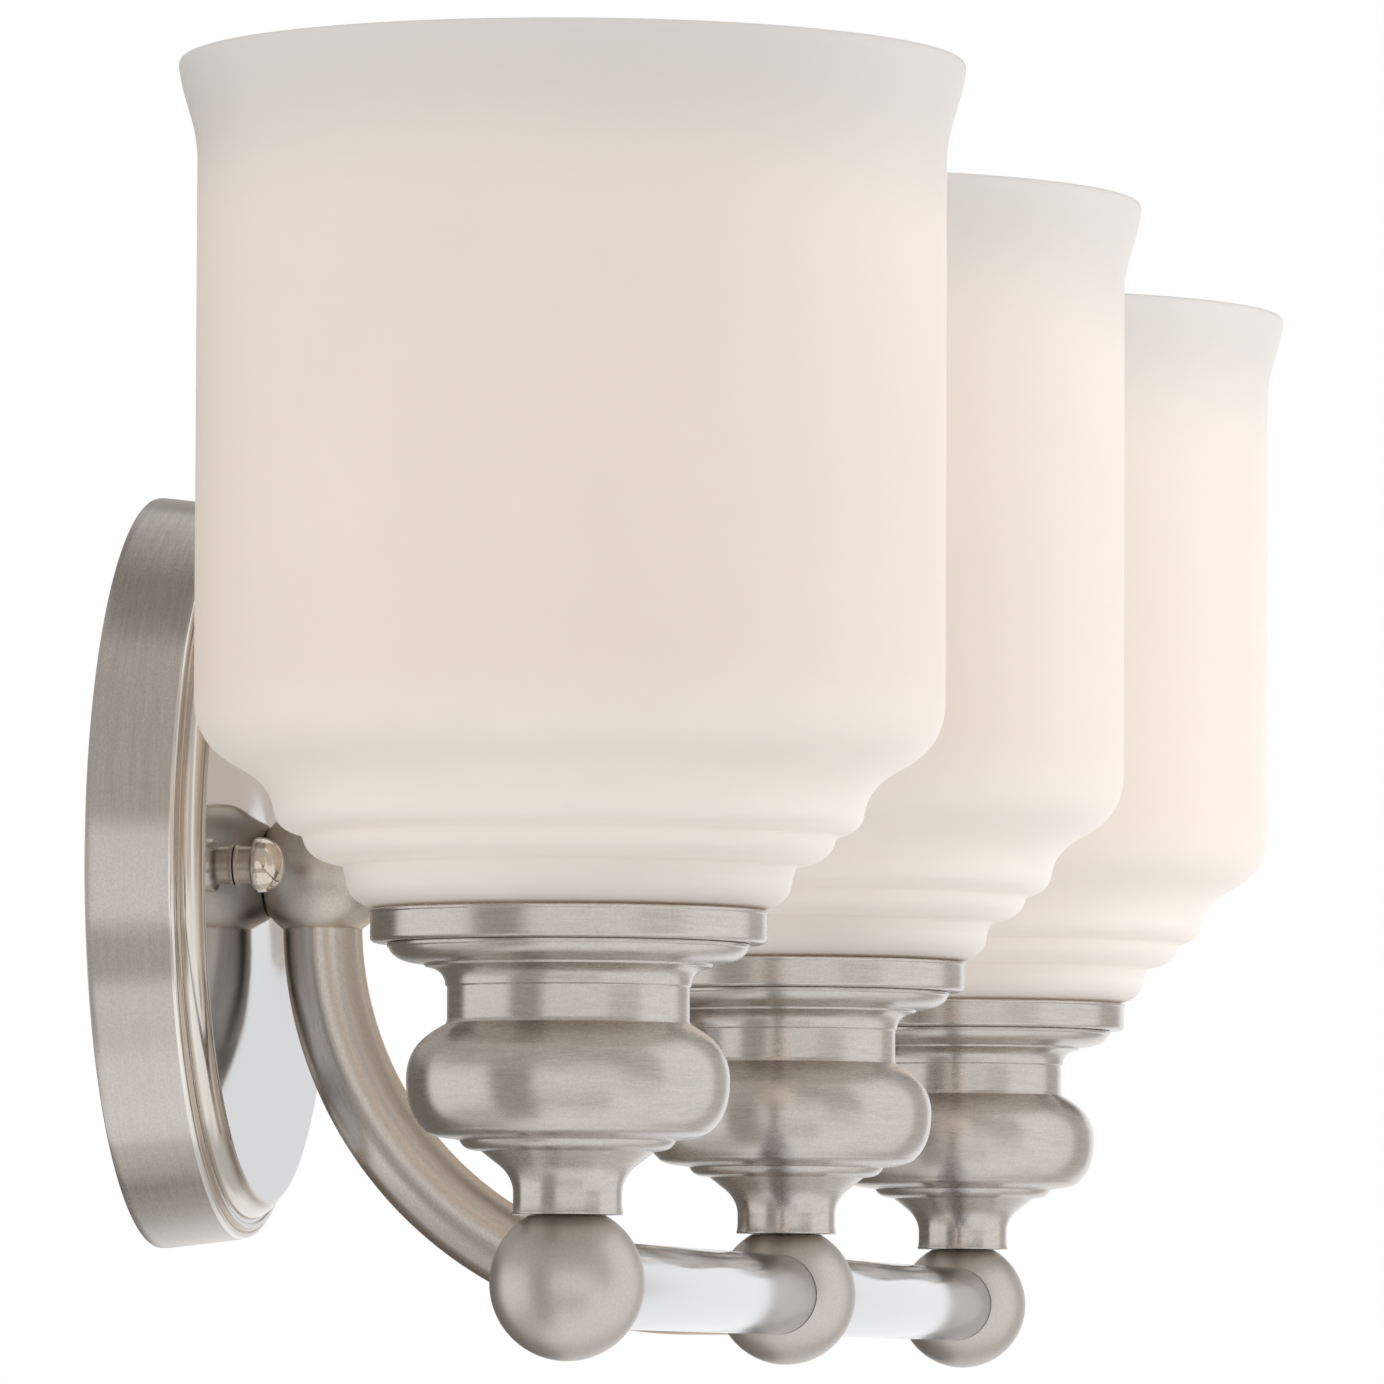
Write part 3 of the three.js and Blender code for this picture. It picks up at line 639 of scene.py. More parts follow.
NICKEL = (0.60, 0.560, 0.522)
# painted reflection: the knuckle and the arm are warmer copies of NICKEL, for the warm glass above them
# that they reflect
KNUCKLE_NICKEL, ARM_NICKEL = (0.60, 0.548, 0.490), (0.60, 0.555, 0.508)
BROWN_EDGE = (0.86, 0.74, 0.62)
satin = brushed_nickel("satin_nickel", NICKEL, 0.27, 0.85, 0.00001)
satin_band = brushed_nickel("satin_nickel_band", NICKEL, 0.22, 0.9, 0.000006, BAND_BRUSH)
satin_ball = brushed_nickel("satin_nickel_ball", NICKEL, 0.38, 0.3, 0.00001)
satin_knuckle = brushed_nickel(
    "satin_nickel_knuckle", KNUCKLE_NICKEL, 0.38, 0.3, 0.00001, GRITTY_BRUSH, BROWN_EDGE
)
satin_tube = brushed_nickel("satin_nickel_tube", ARM_NICKEL, 0.25, 0.5, 0.000002, LONG_BRUSH, BROWN_EDGE)
# painted reflection: the cap nuts' necks are dark brown, for the dark surroundings they reflect
painted_dark_neck = brushed_nickel("satin_nut_neck", (0.44, 0.375, 0.31), 0.34, 0.6, 0.000006)
bright = polished_nickel("polished_nickel", (0.64, 0.65, 0.68), 0.08)
face_nickel = polished_nickel("polished_canopy_face", (0.53, 0.535, 0.55))
# the canopy's mouldings carry painted highlights and painted shade
moulding_nickel = moulding_painted_light("polished_moulding")
# painted reflection: the cap nuts' domes are tinted warm, for the warm glass they reflect
nut_nickel = polished_nickel("polished_nut", (0.66, 0.59, 0.50))
zinc = zinc_plate("zinc_steel")
green = green_lacquer("green_screw")
brass = brass_sheet("brass")
bakelite = phenolic("phenolic")
opal = opal_glass("opal_glass")
frost = frosted_glass("bulb_frost")

THREAD = thread_tree()
RIBS = rib_tree()


# ---- Canopy and its fixings ----


CANOPY_BAND = 16.3  # depth of the brushed band; what stands in front of it is polished
NIPPLE_HOLE = 5.15  # radius of the holes that a nipple passes through


def turned_on(
    name, node, outline, material, slot, body="root", turn=UPRIGHT, sides=96, sink=0.0, thread=None
):
    """A turned piece that takes the place of a node."""
    profile, foot = fitted(outline, node, turn, sink)
    piece = turned(name, profile, foot, turn, sides)
    if thread:
        threaded(piece, material, *thread)
    return dress(piece, material, slot, body, node)


def threaded(piece, material, pitch, depth, core, start, end):
    """Cuts a thread into a turned piece. Sizes are in millimetres."""
    sizes = {"pitch": pitch, "depth": depth, "core": core, "start": start, "end": end}
    grown(piece, THREAD, material=material, **{key: float(size * MM) for key, size in sizes.items()})


def canopy_outline():
    """Brushed band, edge bead and groove, sloping moulding, raised face, and the pan behind it."""
    o = Outline(73.8, 0.8)
    o.to(73.8, 0, 0.15).to(75, 0, 0.3).to(75, 1.2, 0.4).to(73.2, 16.2, 0.1)
    o.bow((73.1, 17.2), (72.3, 17.3)).bow((71.9, 17.3), (71.8, 16.9), 0.1)
    o.bow((71.6, 18.2), (70.7, 18.2)).bow((70.1, 18.2), (70.0, 17.9), 0.1)
    o.to(69.2, 18.0, 0.2)
    o.bow((69.0, 19.6), (67.2, 20.6)).bow((66.6, 21.0), (66.4, 21.3), 0.1)
    o.bow((66.0, 21.9), (65.2, 21.9))
    o.to(40, 21.9).to(NIPPLE_HOLE, 21.9, 0.2).to(NIPPLE_HOLE, 20.7, 0.1)
    o.to(64.6, 20.7, 1.0).to(67.3, 19.2, 0.6).to(67.8, 16.9, 0.6).to(71.4, 16.2, 1.0)
    return o.to(73.8, 1.0, 0.1).to(73.8, 0.8)


def build_canopy():
    shape = {"turn": OUT_OF_WALL, "sides": 240}
    canopy = turned_on("canopy_plate", "canopy", canopy_outline(), satin_band, "satin_nickel", **shape)
    canopy.data.materials.append(face_nickel)
    canopy.data.materials.append(moulding_nickel)
    band_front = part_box("canopy")[1].y - CANOPY_BAND * MM
    for polygon in canopy.data.polygons:
        if polygon.center.y < band_front and polygon.normal.y < -0.05:
            polygon.material_index = 1 if polygon.normal.y < -0.98 else 2


BOX_SLOT = (4.8, 10)  # width and length of the slots for the box screws
BOX_SLOT_INSET = 9  # from the middle of such a slot to the strap's end
STUD_HOLE, THREADED_HOLE, GROUND_HOLE = 4.7, 13, 4
STRAP_EDGE = 0.2  # how far the strap's edges are rounded
SLOT_STEPS = 16


def slot_ring(x, width, length):
    """A slot with round ends, or a hole, as a closed ring of points in the strap's plane.
    x is in metres, and the slot's width and length are in millimetres."""
    reach, radius = (length - width) / 2 * MM, width / 2 * MM
    ring = []
    for centre, start in ((x + reach, -math.pi / 2), (x - reach, math.pi / 2)):
        for k in range(SLOT_STEPS + 1):
            angle = start + k * math.pi / SLOT_STEPS
            ring.append((centre + radius * math.cos(angle), radius * math.sin(angle)))
    return ring


def build_bracket():
    """A pressed strap with round ends, slots for the box screws, a nipple hole and stud holes."""
    low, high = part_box("mounting_bracket")
    size = (high - low) / MM
    slot_x = high.x - BOX_SLOT_INSET * MM
    rings = [slot_ring(0, size.z, size.x)]
    rings += [slot_ring(x, *BOX_SLOT) for x in (-slot_x, slot_x)]
    rings += [slot_ring(middle(f"stud_{side}").x, STUD_HOLE, STUD_HOLE) for side in ("left", "right")]
    rings.append(slot_ring(0, THREADED_HOLE, THREADED_HOLE))
    rings.append(slot_ring(middle("ground_screw").x, GROUND_HOLE, GROUND_HOLE))
    curve = bpy.data.curves.new("bracket_plan", "CURVE")
    curve.dimensions, curve.fill_mode = "2D", "BOTH"
    curve.extrude, curve.bevel_depth = (size.y / 2 - STRAP_EDGE) * MM, STRAP_EDGE * MM
    curve.offset, curve.bevel_resolution = -STRAP_EDGE * MM, 2
    for ring in rings:
        spline = curve.splines.new("POLY")
        spline.points.add(len(ring) - 1)
        for point, (x, z) in zip(spline.points, ring):
            point.co = (x, z, 0, 1)
        spline.use_cyclic_u = True
    plan = placed("bracket_plan", curve)
    mesh = bpy.data.meshes.new_from_object(plan)
    bpy.data.objects.remove(plan)
    mesh.transform(Matrix.Translation((0, (low.y + high.y) / 2, 0)) @ OUT_OF_WALL.to_4x4())
    dress(placed("bracket_strap", mesh), zinc, "zinc_steel", "root", "mounting_bracket")


THREAD_END = 0.4  # chamfer of a rod's ends, in millimetres
ROWS_PER_TURN = 8
NIPPLE_THREAD = (1.0, 0.4, 3.2)  # pitch, depth and bore
STUD_THREAD = (0.8, 0.35)
STUD_BORE = 2.35  # radius of the holes that a stud screws into


def rod_outline(radius, length, bore, pitch):
    """A rod or a tube with chamfered ends, its sizes in millimetres."""
    o = Outline(bore, 0.5 * length).to(bore, 0, 0.1) if bore else Outline(0, 0)
    o.to(radius - THREAD_END, 0).to(radius, THREAD_END)
    o.rows(radius, length - THREAD_END, max(2, round(length / pitch * ROWS_PER_TURN)))
    o.to(radius - THREAD_END, length)
    return o.to(bore, length, 0.1).to(bore, 0.5 * length) if bore else o.to(0, length)


def build_rod(name, node, turn, pitch, depth, bore=0.0):
    """A threaded rod or nipple on a node's own size."""
    _, height, radius = axis_box(node, turn)
    height, radius = height / MM, radius / MM
    outline = rod_outline(radius, height, bore, pitch)
    thread = (pitch, depth, radius - 0.3, THREAD_END, height - THREAD_END)
    turned_on(name, node, outline, zinc, "zinc_steel", turn=turn, sides=32, thread=thread)


NUT_CHAMFER = 0.3
CRISP = math.radians(25)  # edges sharper than this stay crisp


def build_nut(name, node, bore, turn):
    """A hexagon nut with chamfered corners."""
    _, height, corner = axis_box(node, turn)
    thick, corner = height / MM, corner / MM
    flats = corner * math.sqrt(3)
    face, rise = 0.5 * flats * 0.97, 0.16 * thick
    o = Outline(bore, 0.5 * thick).to(bore, NUT_CHAMFER).to(bore + NUT_CHAMFER, 0).to(face, 0)
    o.to(corner, rise).to(corner, thick - rise).to(face, thick).to(bore + NUT_CHAMFER, thick)
    o.to(bore, thick - NUT_CHAMFER).to(bore, 0.5 * thick)
    profile, foot = fitted(o, node, turn)
    nut = turned(name, profile, foot, turn, limit=hexagon(flats * MM))
    nut.data.set_sharp_from_angle(angle=CRISP)
    dress(nut, zinc, "zinc_steel", "root", node)


def build_washer():
    o = Outline(NIPPLE_HOLE, 0.6).to(NIPPLE_HOLE, 0, 0.1).to(10, 0, 0.15).to(10, 1.2, 0.15)
    o.to(NIPPLE_HOLE, 1.2, 0.1).to(NIPPLE_HOLE, 0.6)
    turned_on("canopy_washer", "nipple_washer", o, zinc, "zinc_steel", turn=OUT_OF_WALL)


def build_ground_screw():
    o = Outline(0, 0).to(1.4, 0).to(1.7, 0.3).to(1.7, 2.3, 0.1).to(4, 2.3, 0.2).to(4, 3.5, 0.2)
    o.bow((3.6, 4.7), (1.6, 4.7)).to(1.5, 4.0, 0.1).to(0, 4.0)
    node = "ground_screw"
    turned_on("ground_screw_head", node, o, green, "green_screw", turn=OUT_OF_WALL, sides=48)


NUT_DARKENED_NECK = 3.4  # how much of a cap nut is its duller neck, darkened with a painted reflection


def cap_nut_outline():
    """A blind bore, a flange, a neck and a domed head."""
    bore = STUD_BORE
    o = Outline(0, 7.3).to(bore, 7.3, 0.2).to(bore, 0, 0.1).to(4.0, 0, 0.15).to(4.0, 0.5, 0.15)
    o.to(3.7, 0.8, 0.1).to(3.7, 3.3, 0.3).to(5.0, 3.7, 0.2)
    return o.bow((5.4, 3.9), (5.4, 4.6)).swing((5.4, 7.6), (3.3, 9.4), (0, 9.4))


def build_cap_nuts():
    turn, shape = OUT_OF_WALL, {"sides": 64, "sink": SEATED}
    for side in ("left", "right"):
        node, name, outline = f"cap_nut_{side}", f"acorn_nut_{side}", cap_nut_outline()
        nut = turned_on(name, node, outline, nut_nickel, "polished_nickel", node, turn, **shape)
        nut.data.materials.append(painted_dark_neck)
        # the polygons behind neck_front get the neck's finish, with its painted dark reflection
        neck_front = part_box(node)[1].y + SEATED - NUT_DARKENED_NECK * MM
        for polygon in nut.data.polygons:
            if polygon.center.y > neck_front:
                polygon.material_index = 1
        build_rod(f"threaded_stud_{side}", f"stud_{side}", turn, *STUD_THREAD)
        build_nut(f"hex_nut_{side}", f"stud_nut_{side}", STUD_BORE, turn)


# ---- Balls, arm and bars ----


TUBE_WALL = 1.5
SOCKET_FLOOR = 8.6  # from a ball's centre to the floor of a tube's socket
SOCKET_GAP = 0.02
ARM_DROP = 0.0012  # the straight of the arm above its bend
ARM_STEPS = 64
ON_SKIN = 0.02  # what lies this near to a ball's radius is on its skin
UP, DOWN = Vector((0, 0, 1)), Vector((0, 0, -1))
OUT_LEFT, OUT_RIGHT, TO_WALL = Vector((-1, 0, 0)), Vector((1, 0, 0)), Vector((0, 1, 0))


def tube_radius():
    low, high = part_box("bar_left")
    return (high.z - low.z) / 2


def turn_to(way):
    """The turn that sends +Z to a way."""
    return UP.rotation_difference(way).to_matrix()


def build_ball(name, node, centre, radius, flat_way, flat_height, tube_ways, finish):
    """A turned ball with a flat under its cup and a bored socket for each tube."""
    o = Outline(0, -radius / MM)
    o.arc(radius / MM, -math.pi / 2, math.asin(flat_height / radius), 0.15).to(0, flat_height / MM)
    profile = o.points() * MM
    profile[[0, -1], 0] = 0.0
    ball = turned(name, profile, centre, turn_to(flat_way), sides=128)
    bore = tube_radius() + SOCKET_GAP * MM
    for way in tube_ways:
        cut_away(ball, placed("drill", drill_mesh(bore, 2 * radius, centre, way)))
    even_ball(ball, centre, radius)
    dress(ball, finish, "satin_nickel", "root", node)


def drill_mesh(radius, length, centre, way):
    shape = bmesh.new()
    size = {"radius1": radius, "radius2": radius, "depth": length}
    bmesh.ops.create_cone(shape, cap_ends=True, segments=64, **size)
    away = SOCKET_FLOOR * MM + length / 2
    shape.transform(Matrix.Translation(centre + way * away) @ turn_to(way).to_4x4())
    mesh = bpy.data.meshes.new("drill")
    shape.to_mesh(mesh)
    shape.free()
    return mesh


def cut_away(piece, tool):
    modifier = piece.modifiers.new("cut", "BOOLEAN")
    modifier.operation, modifier.solver, modifier.object = "DIFFERENCE", "EXACT", tool
    applied(piece, modifier)
    bpy.data.objects.remove(tool)


def even_ball(ball, centre, radius):
    """Shades the ball's skin as a true sphere right up to its cut edges, and its cuts flat."""
    mesh = ball.data
    spokes = [vertex.co - centre for vertex in mesh.vertices]
    normals = [None] * len(mesh.loops)
    for polygon in mesh.polygons:
        on_skin = all(abs(spokes[v].length - radius) < ON_SKIN * MM for v in polygon.vertices)
        for loop, v in zip(polygon.loop_indices, polygon.vertices):
            normals[loop] = spokes[v].normalized() if on_skin else polygon.normal
    mesh.normals_split_custom_set(normals)


def build_balls():
    row = middle("bar_left")
    ways = {"left": [OUT_RIGHT], "centre": [OUT_LEFT, OUT_RIGHT, TO_WALL], "right": [OUT_LEFT]}
    for light in LIGHTS:
        node = f"ball_{light}"
        low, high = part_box(node)
        centre = Vector((middle(f"cup_{light}").x, row.y, row.z))
        reach, flat = centre.z - low.z, high.z - centre.z
        build_ball(f"joint_{node}", node, centre, reach, UP, flat, ways[light], satin_ball)
    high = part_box("knuckle")[1]
    centre = Vector((0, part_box("arm_tube")[1].y - tube_radius(), 0))
    flat = high.y - centre.y + SEATED
    build_ball("joint_knuckle", "knuckle", centre, high.z, TO_WALL, flat, [DOWN], satin_knuckle)


def arm_path():
    """The arm's middle line as (y, z) points: a short drop, a quarter circle and a run to the ball."""
    low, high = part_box("arm_tube")
    radius = tube_radius()
    top, row, wall = high.z, low.z + radius, high.y - radius
    bend = top - ARM_DROP - row
    path = [(wall, top), (wall, top - ARM_DROP)]
    for k in range(1, ARM_STEPS + 1):
        angle = k * math.pi / 2 / ARM_STEPS
        path.append((wall - bend * (1 - math.cos(angle)), row + bend * (1 - math.sin(angle))))
    return path + [(low.y, row)]


def build_arm():
    """The tube that drops from the knuckle and sweeps out to the middle ball."""
    path, sides = arm_path(), 64
    rows, profile = [], []
    for inset, stations in ((0, range(len(path))), (TUBE_WALL * MM, reversed(range(len(path))))):
        for i in stations:
            y, z = path[i]
            before, after = path[max(i - 1, 0)], path[min(i + 1, len(path) - 1)]
            way = Vector((0, after[0] - before[0], after[1] - before[1])).normalized()
            axes = np.array([OUT_RIGHT, way.cross(OUT_RIGHT)])
            rows.append(unit_circle(sides) @ axes * (tube_radius() - inset) + (0, y, z))
            profile.append((y, z + inset))
    rows.append(rows[0])
    profile.append(profile[0])
    arm = skin("swept_arm", rows, np.array(profile), sides, np.eye(3), np.zeros(3))
    dress(arm, satin_tube, "satin_nickel", "root", "arm_tube")


def build_bars():
    for side in ("left", "right"):
        node = f"bar_{side}"
        _, length, radius = axis_box(node, ALONG_BAR)
        length, radius = length / MM, radius / MM
        bore = radius - TUBE_WALL
        o = Outline(bore, 1).to(bore, 0, 0.1).to(radius, 0, 0.25).to(radius, length, 0.25)
        o.to(bore, length, 0.1).to(bore, 1)
        turned_on(f"cross_{node}", node, o, bright, "polished_nickel", turn=ALONG_BAR)


# ---- One light ----


def cup_outline():
    """Neck, slope, two steps, bowl, waist, cove and ovolo, and the hollow inside."""
    hole = NIPPLE_HOLE
    o = Outline(hole, 6).to(hole, 0, 0.2).to(10, 0, 0.4).bow((9.65, 0.8), (9.65, 2.2)).to(9.65, 4.0)
    o.bow((9.8, 7.0), (12.6, 9.0), 0.3).to(15.3, 11.1, 0.15).to(16.8, 11.3, 0.25)
    o.bow((18.5, 11.5), (19.2, 13.05), 0.15).to(20.9, 13.35, 0.25)
    o.bow((24.6, 13.6), (25.5, 14.9), 0.2).bow((28.7, 17.7), (28.7, 23.6))
    o.swing((28.7, 29.4), (25.2, 31.6), (22.2, 33.3), 0.25)
    o.to(21.7, 33.6, 0.12).to(21.5, 34.3, 0.15).to(21.5, 40.0, 0.1).to(21.8, 40.3, 0.1)
    o.bow((22.0, 43.2), (25.4, 43.6), 0.2).to(25.7, 44.1, 0.1).to(26.9, 44.2, 0.15)
    o.bow((31.0, 44.6), (31.9, 46.9), 0.1).to(32.2, 47.1, 0.1).to(32.2, 47.7, 0.15)
    o.to(30.6, 47.7, 0.2).to(30.5, 46.6, 1).to(23.8, 44.6, 2).to(19.9, 41.8, 2).to(19.9, 33, 3)
    return o.to(27.1, 23.8, 6).to(22.8, 18, 1).to(hole, 18, 0.2).to(hole, 6)


def tray_outline():
    """A shallow dish with a rolled lower edge and a fine lip."""
    hole = 19.8
    o = Outline(hole, 0.6).to(hole, 0, 0.1).to(34.6, 0, 0.6).to(35.2, 0.5, 0.3).to(35.2, 4.9, 0.1)
    o.bow((35.5, 5.0), (35.5, 5.3), 0.1).bow((35.5, 5.6), (35.1, 5.6), 0.1).to(34.3, 5.6, 0.1)
    return o.to(34.2, 1.2, 0.4).to(hole, 1.2, 0.1).to(hole, 0.6)


def shade_outline():
    """Foot, neck, two scallops, S-shaped shoulder, straight body and bell lip, 3 mm thick."""
    o = Outline(20.7, 1.5).to(20.7, 0, 0.4).to(33, 0, 1.4).to(33, 4.4, 0.5)
    o.bow((39.2, 5.0), (39.5, 9.7), 0.3).to(40.2, 12.2, 0.8)
    o.bow((46.6, 12.7), (47.3, 17.5), 0.8).bow((51.9, 18.2), (52.3, 21.8), 0.8)
    o.swing((53.0, 26.4), (56.6, 28.4), (59.4, 29.9), 0.6)
    o.swing((63.6, 32.2), (66.4, 35.6), (66.5, 41.4)).to(66.5, 137.5)
    o.swing((66.6, 144), (68.9, 147), (69.8, 153.2))
    o.bow((70.2, 155.2), (68.6, 155.2)).bow((67.3, 155.2), (66.9, 153.2))
    o.swing((65.8, 147), (63.6, 144), (63.5, 137.5)).to(63.5, 41.4)
    o.swing((63.4, 37.4), (61.6, 34.6), (57.6, 32.4), 1)
    o.bow((50.4, 28.6), (49.6, 22.8), 0.8).bow((49.4, 20.6), (44.9, 19.4), 0.8)
    o.bow((44.0, 15.8), (38.0, 14.8), 0.8).to(36.7, 10.6, 1).bow((36.4, 7.4), (30.6, 6.6), 0.8)
    return o.to(30, 3, 1).to(20.7, 3, 0.4).to(20.7, 1.5)


def holder_outline():
    """Keyless lamp holder: boss, shoulder and a threaded barrel with a wide bore."""
    hole, barrel = NIPPLE_HOLE, 19.3
    o = Outline(hole, 3).to(hole, 0, 0.2).to(9.5, 0, 0.3).to(9.5, 3, 0.3)
    o.to(18.3, 3.6, 0.6).to(barrel, 5, 0.6).rows(barrel, 52, 128, 0.4)
    o.to(14.2, 52, 0.5).to(14.2, 21, 0.2).to(3, 21, 0.2).to(3, 18, 0.2)
    return o.to(16.5, 18, 0.4).to(16.5, 6, 0.4).to(hole, 6, 0.2).to(hole, 3)


def ring_outline():
    """A flange that presses the glass down, and a collar for the fingers."""
    o = Outline(19.6, 4).to(19.6, 0, 0.2).to(26, 0, 0.4).to(26, 2.6, 0.5).to(22.6, 2.6, 0.2)
    return o.to(22.6, 7.8, 0.6).to(22, 8, 0.2).to(19.6, 8, 0.4).to(19.6, 4)


def shell_outline():
    """The holder's screw shell, thin brass that takes the lamp's thread."""
    o = Outline(8, 0.25).to(8, 0, 0.1).to(13.9, 0, 0.3).rows(13.9, 28.7, 96)
    return o.to(13.4, 28.7).rows(13.4, 0.5, 96).to(8, 0.5, 0.1).to(8, 0.25)


def contact_outline():
    o = Outline(0, -3).to(2.7, -3, 0.2).to(2.7, 0, 0.1).to(4, 0, 0.15)
    return o.bow((3.8, 0.6), (2.2, 0.6)).to(0, 0.6)


def cap_outline():
    """Lamp cap: contact tip, glass bead, threaded wall and turned-in top."""
    o = Outline(0, 0).bow((3.2, 0), (4.6, 0.5), 0.1).to(5.2, 1.6, 0.2).to(10.7, 4.5, 0.4)
    o.to(12.4, 5.5, 0.4).rows(12.9, 20, 60).to(12.9, 25, 0.3)
    return o.to(11.4, 25, 0.2).to(11.4, 5.8, 0.2).to(0, 5.8)


def envelope_outline():
    """A-shaped envelope of blown glass, open at its neck."""
    o = Outline(12.3, 25.3).to(12.8, 25.3, 0.2).to(12.8, 33)
    o.swing((15.8, 47), (30, 60), (30, 80)).swing((30, 96.5), (16.5, 110), (0, 110))
    o.to(0, 109).swing((16, 109), (29, 96), (29, 80)).swing((29, 60.4), (14.8, 47), (11.8, 33))
    return o.to(11.8, 25.3, 0.1).to(12.3, 25.3)


# pitch, depth, core radius, start and end of each thread
HOLDER_THREAD = (2.5, 0.45, 19.0, 16, 51)
SHELL_THREAD = (3.6, 0.4, 12.0, 1, 27.5)
CAP_THREAD = (3.6, 0.7, 12.2, 6, 20)
RIB_SIZES = {"circle": 22.6 * MM, "thickness": 0.75 * MM, "height": 4.0 * MM}
RIB_COUNT, RIB_MIDDLE = 40, 5.0  # how many, and how high above the ring's foot their middles are


def build_ring(light):
    node = f"ring_{light}"
    profile, foot = fitted(ring_outline(), node)
    ring = turned(f"glass_ring_{light}", profile, foot)
    rib_foot = tuple(foot + RIB_MIDDLE * MM * UP)
    grown(ring, RIBS, material=bakelite, count=RIB_COUNT, middle=rib_foot, **RIB_SIZES)
    dress(ring, bakelite, "phenolic", node, node)


def build_light(light):
    """Everything above one ball, from the nipple to the lamp."""
    lamp_nipple, lamp = f"lamp_nipple_{light}", f"bulb_{light}"
    cup, tray, shade = f"cup_{light}", f"tray_{light}", f"shade_{light}"
    wide = {"sides": 192, "sink": SEATED}
    build_rod(lamp_nipple, f"nipple_{light}", UPRIGHT, *NIPPLE_THREAD)
    turned_on(f"turned_{cup}", cup, cup_outline(), satin, "satin_nickel", **wide)
    build_nut(f"cup_locknut_{light}", f"cup_nut_{light}", NIPPLE_HOLE, UPRIGHT)
    turned_on(f"glass_{tray}", tray, tray_outline(), satin, "satin_nickel", **wide)
    contact, holder, shell = contact_outline(), holder_outline(), shell_outline()
    turned_on(f"centre_contact_{light}", f"contact_{light}", contact, brass, "brass", sides=32)
    node = f"socket_{light}"
    turned_on(f"lamp_holder_{light}", node, holder, bakelite, "phenolic", thread=HOLDER_THREAD)
    node = f"screw_shell_{light}"
    turned_on(f"threaded_shell_{light}", node, shell, brass, "brass", sides=72, thread=SHELL_THREAD)
    build_ring(light)
    turned_on(f"opal_{shade}", shade, shade_outline(), opal, "opal_glass", shade, **wide)
    node, cap = f"bulb_cap_{light}", cap_outline()
    turned_on(f"lamp_cap_{light}", node, cap, brass, "brass", lamp, sides=72, thread=CAP_THREAD)
    node, envelope = f"bulb_glass_{light}", envelope_outline()
    turned_on(f"lamp_envelope_{light}", node, envelope, frost, "bulb_frost", lamp)


# ---- Studio ----


YAW, PITCH, ROLL = (math.radians(a) for a in (9.23, 3.36, 0.23))  # of the view, from +X and the level
LENS, SENSOR = 307.6, 36.0
STAND_OFF = 2.3414  # from the camera to the middle ball, along the view
ASIDE, BELOW = 0.0186, 0.1194  # how far the middle ball lies right of and below the view's centre
CLIP_START, CLIP_END = 0.05, 60.0

AMBIENT = 0.62  # strength of the surroundings that light the object
SQUARE = ((-1, -1), (1, -1), (1, 1), (-1, 1))
FLOOR_GREY, FLOOR_HALF_WIDTH = 0.86, 6.0
FLOOR_DROP = 0.35  # from the object's lowest point down to the floor
FLOOR_NEAR, FLOOR_FAR = 0.16, 0.50  # how much paler than it is lit the floor looks, near and far
FLOOR_FADE = (0.8, 3.2)  # metres from the object over which it does so

# name, place, width and power
SOFTBOXES = (
    ("key", (0.30, -1.30, 0.15), 1.0, 6.4),
    ("fill", (-2.2, 0.40, 0.4), 1.4, 6.6),
)
# name, direction from the object (degrees from +X towards +Y, then upwards), half width and height,
# width of the soft edge, grey
FLAGS = (
    ("flag_left_front", 154, 0, 20, 62, 12, 0.42),
    ("flag_right_front", 237, 22, 22, 34, 13, 0.60),
    ("flag_left_rear", 48, 0, 37, 75, 9, 0.18),
    ("flag_right_rear", 325, 0, 20, 70, 10, 0.60),
    ("flag_low_left", 110, -48, 38, 24, 14, 0.62),
    ("flag_low_front", 180, -27, 40, 12, 7, 0.56),
    ("flag_high_rear", 10, 24, 55, 17, 8, 0.19),
    ("flag_upper", 120, 43, 112, 36, 9, 0.52),
    ("flag_overhead", 189, 85, 180, 19, 8, 0.29),
    ("flag_under_rear", 9, -68, 90, 34, 28, 0.66),
)
FLAG_DISTANCE = 1.5
FLAG_STEPS = 24
FLAG_WARMTH = (0.94, 1.0, 1.06)  # powers that make a dark flag browner than a pale one


def direction(turn, lift):
    """The way that lies a turn from +X towards +Y and a lift above the level, in radians."""
    return np.stack([np.cos(lift) * np.cos(turn), np.cos(lift) * np.sin(turn), np.sin(lift)], axis=-1)


def place_camera():
    forward = Vector(direction(YAW, PITCH))
    level = forward.cross(UP).normalized()
    plumb = level.cross(forward)
    across = level * math.cos(ROLL) + plumb * math.sin(ROLL)
    upward = plumb * math.cos(ROLL) - level * math.sin(ROLL)
    camera = placed("camera", bpy.data.cameras.new("camera"))
    camera.data.lens, camera.data.sensor_width = LENS, SENSOR
    camera.data.clip_start, camera.data.clip_end = CLIP_START, CLIP_END
    row = middle("bar_left")
    place = Vector((0, row.y, row.z)) - across * ASIDE + upward * BELOW - forward * STAND_OFF
    turn = Matrix((across, upward, -forward)).transposed().to_4x4()
    camera.matrix_world = Matrix.Translation(place) @ turn
    bpy.context.scene.camera = camera


def object_middle():
    low, high = (Vector(corner) for corner in CAD_BOX)
    return (low + high) / 2


def add_softbox(name, place, width, power):
    """A square lamp that lights the object and isn't seen in its metal."""
    lamp = bpy.data.lights.new(name, "AREA")
    lamp.shape, lamp.size, lamp.energy = "SQUARE", width, power
    box = placed(name, lamp)
    box.location = place
    box.rotation_euler = (object_middle() - Vector(place)).to_track_quat("-Z", "Y").to_euler()
    box.visible_glossy = False


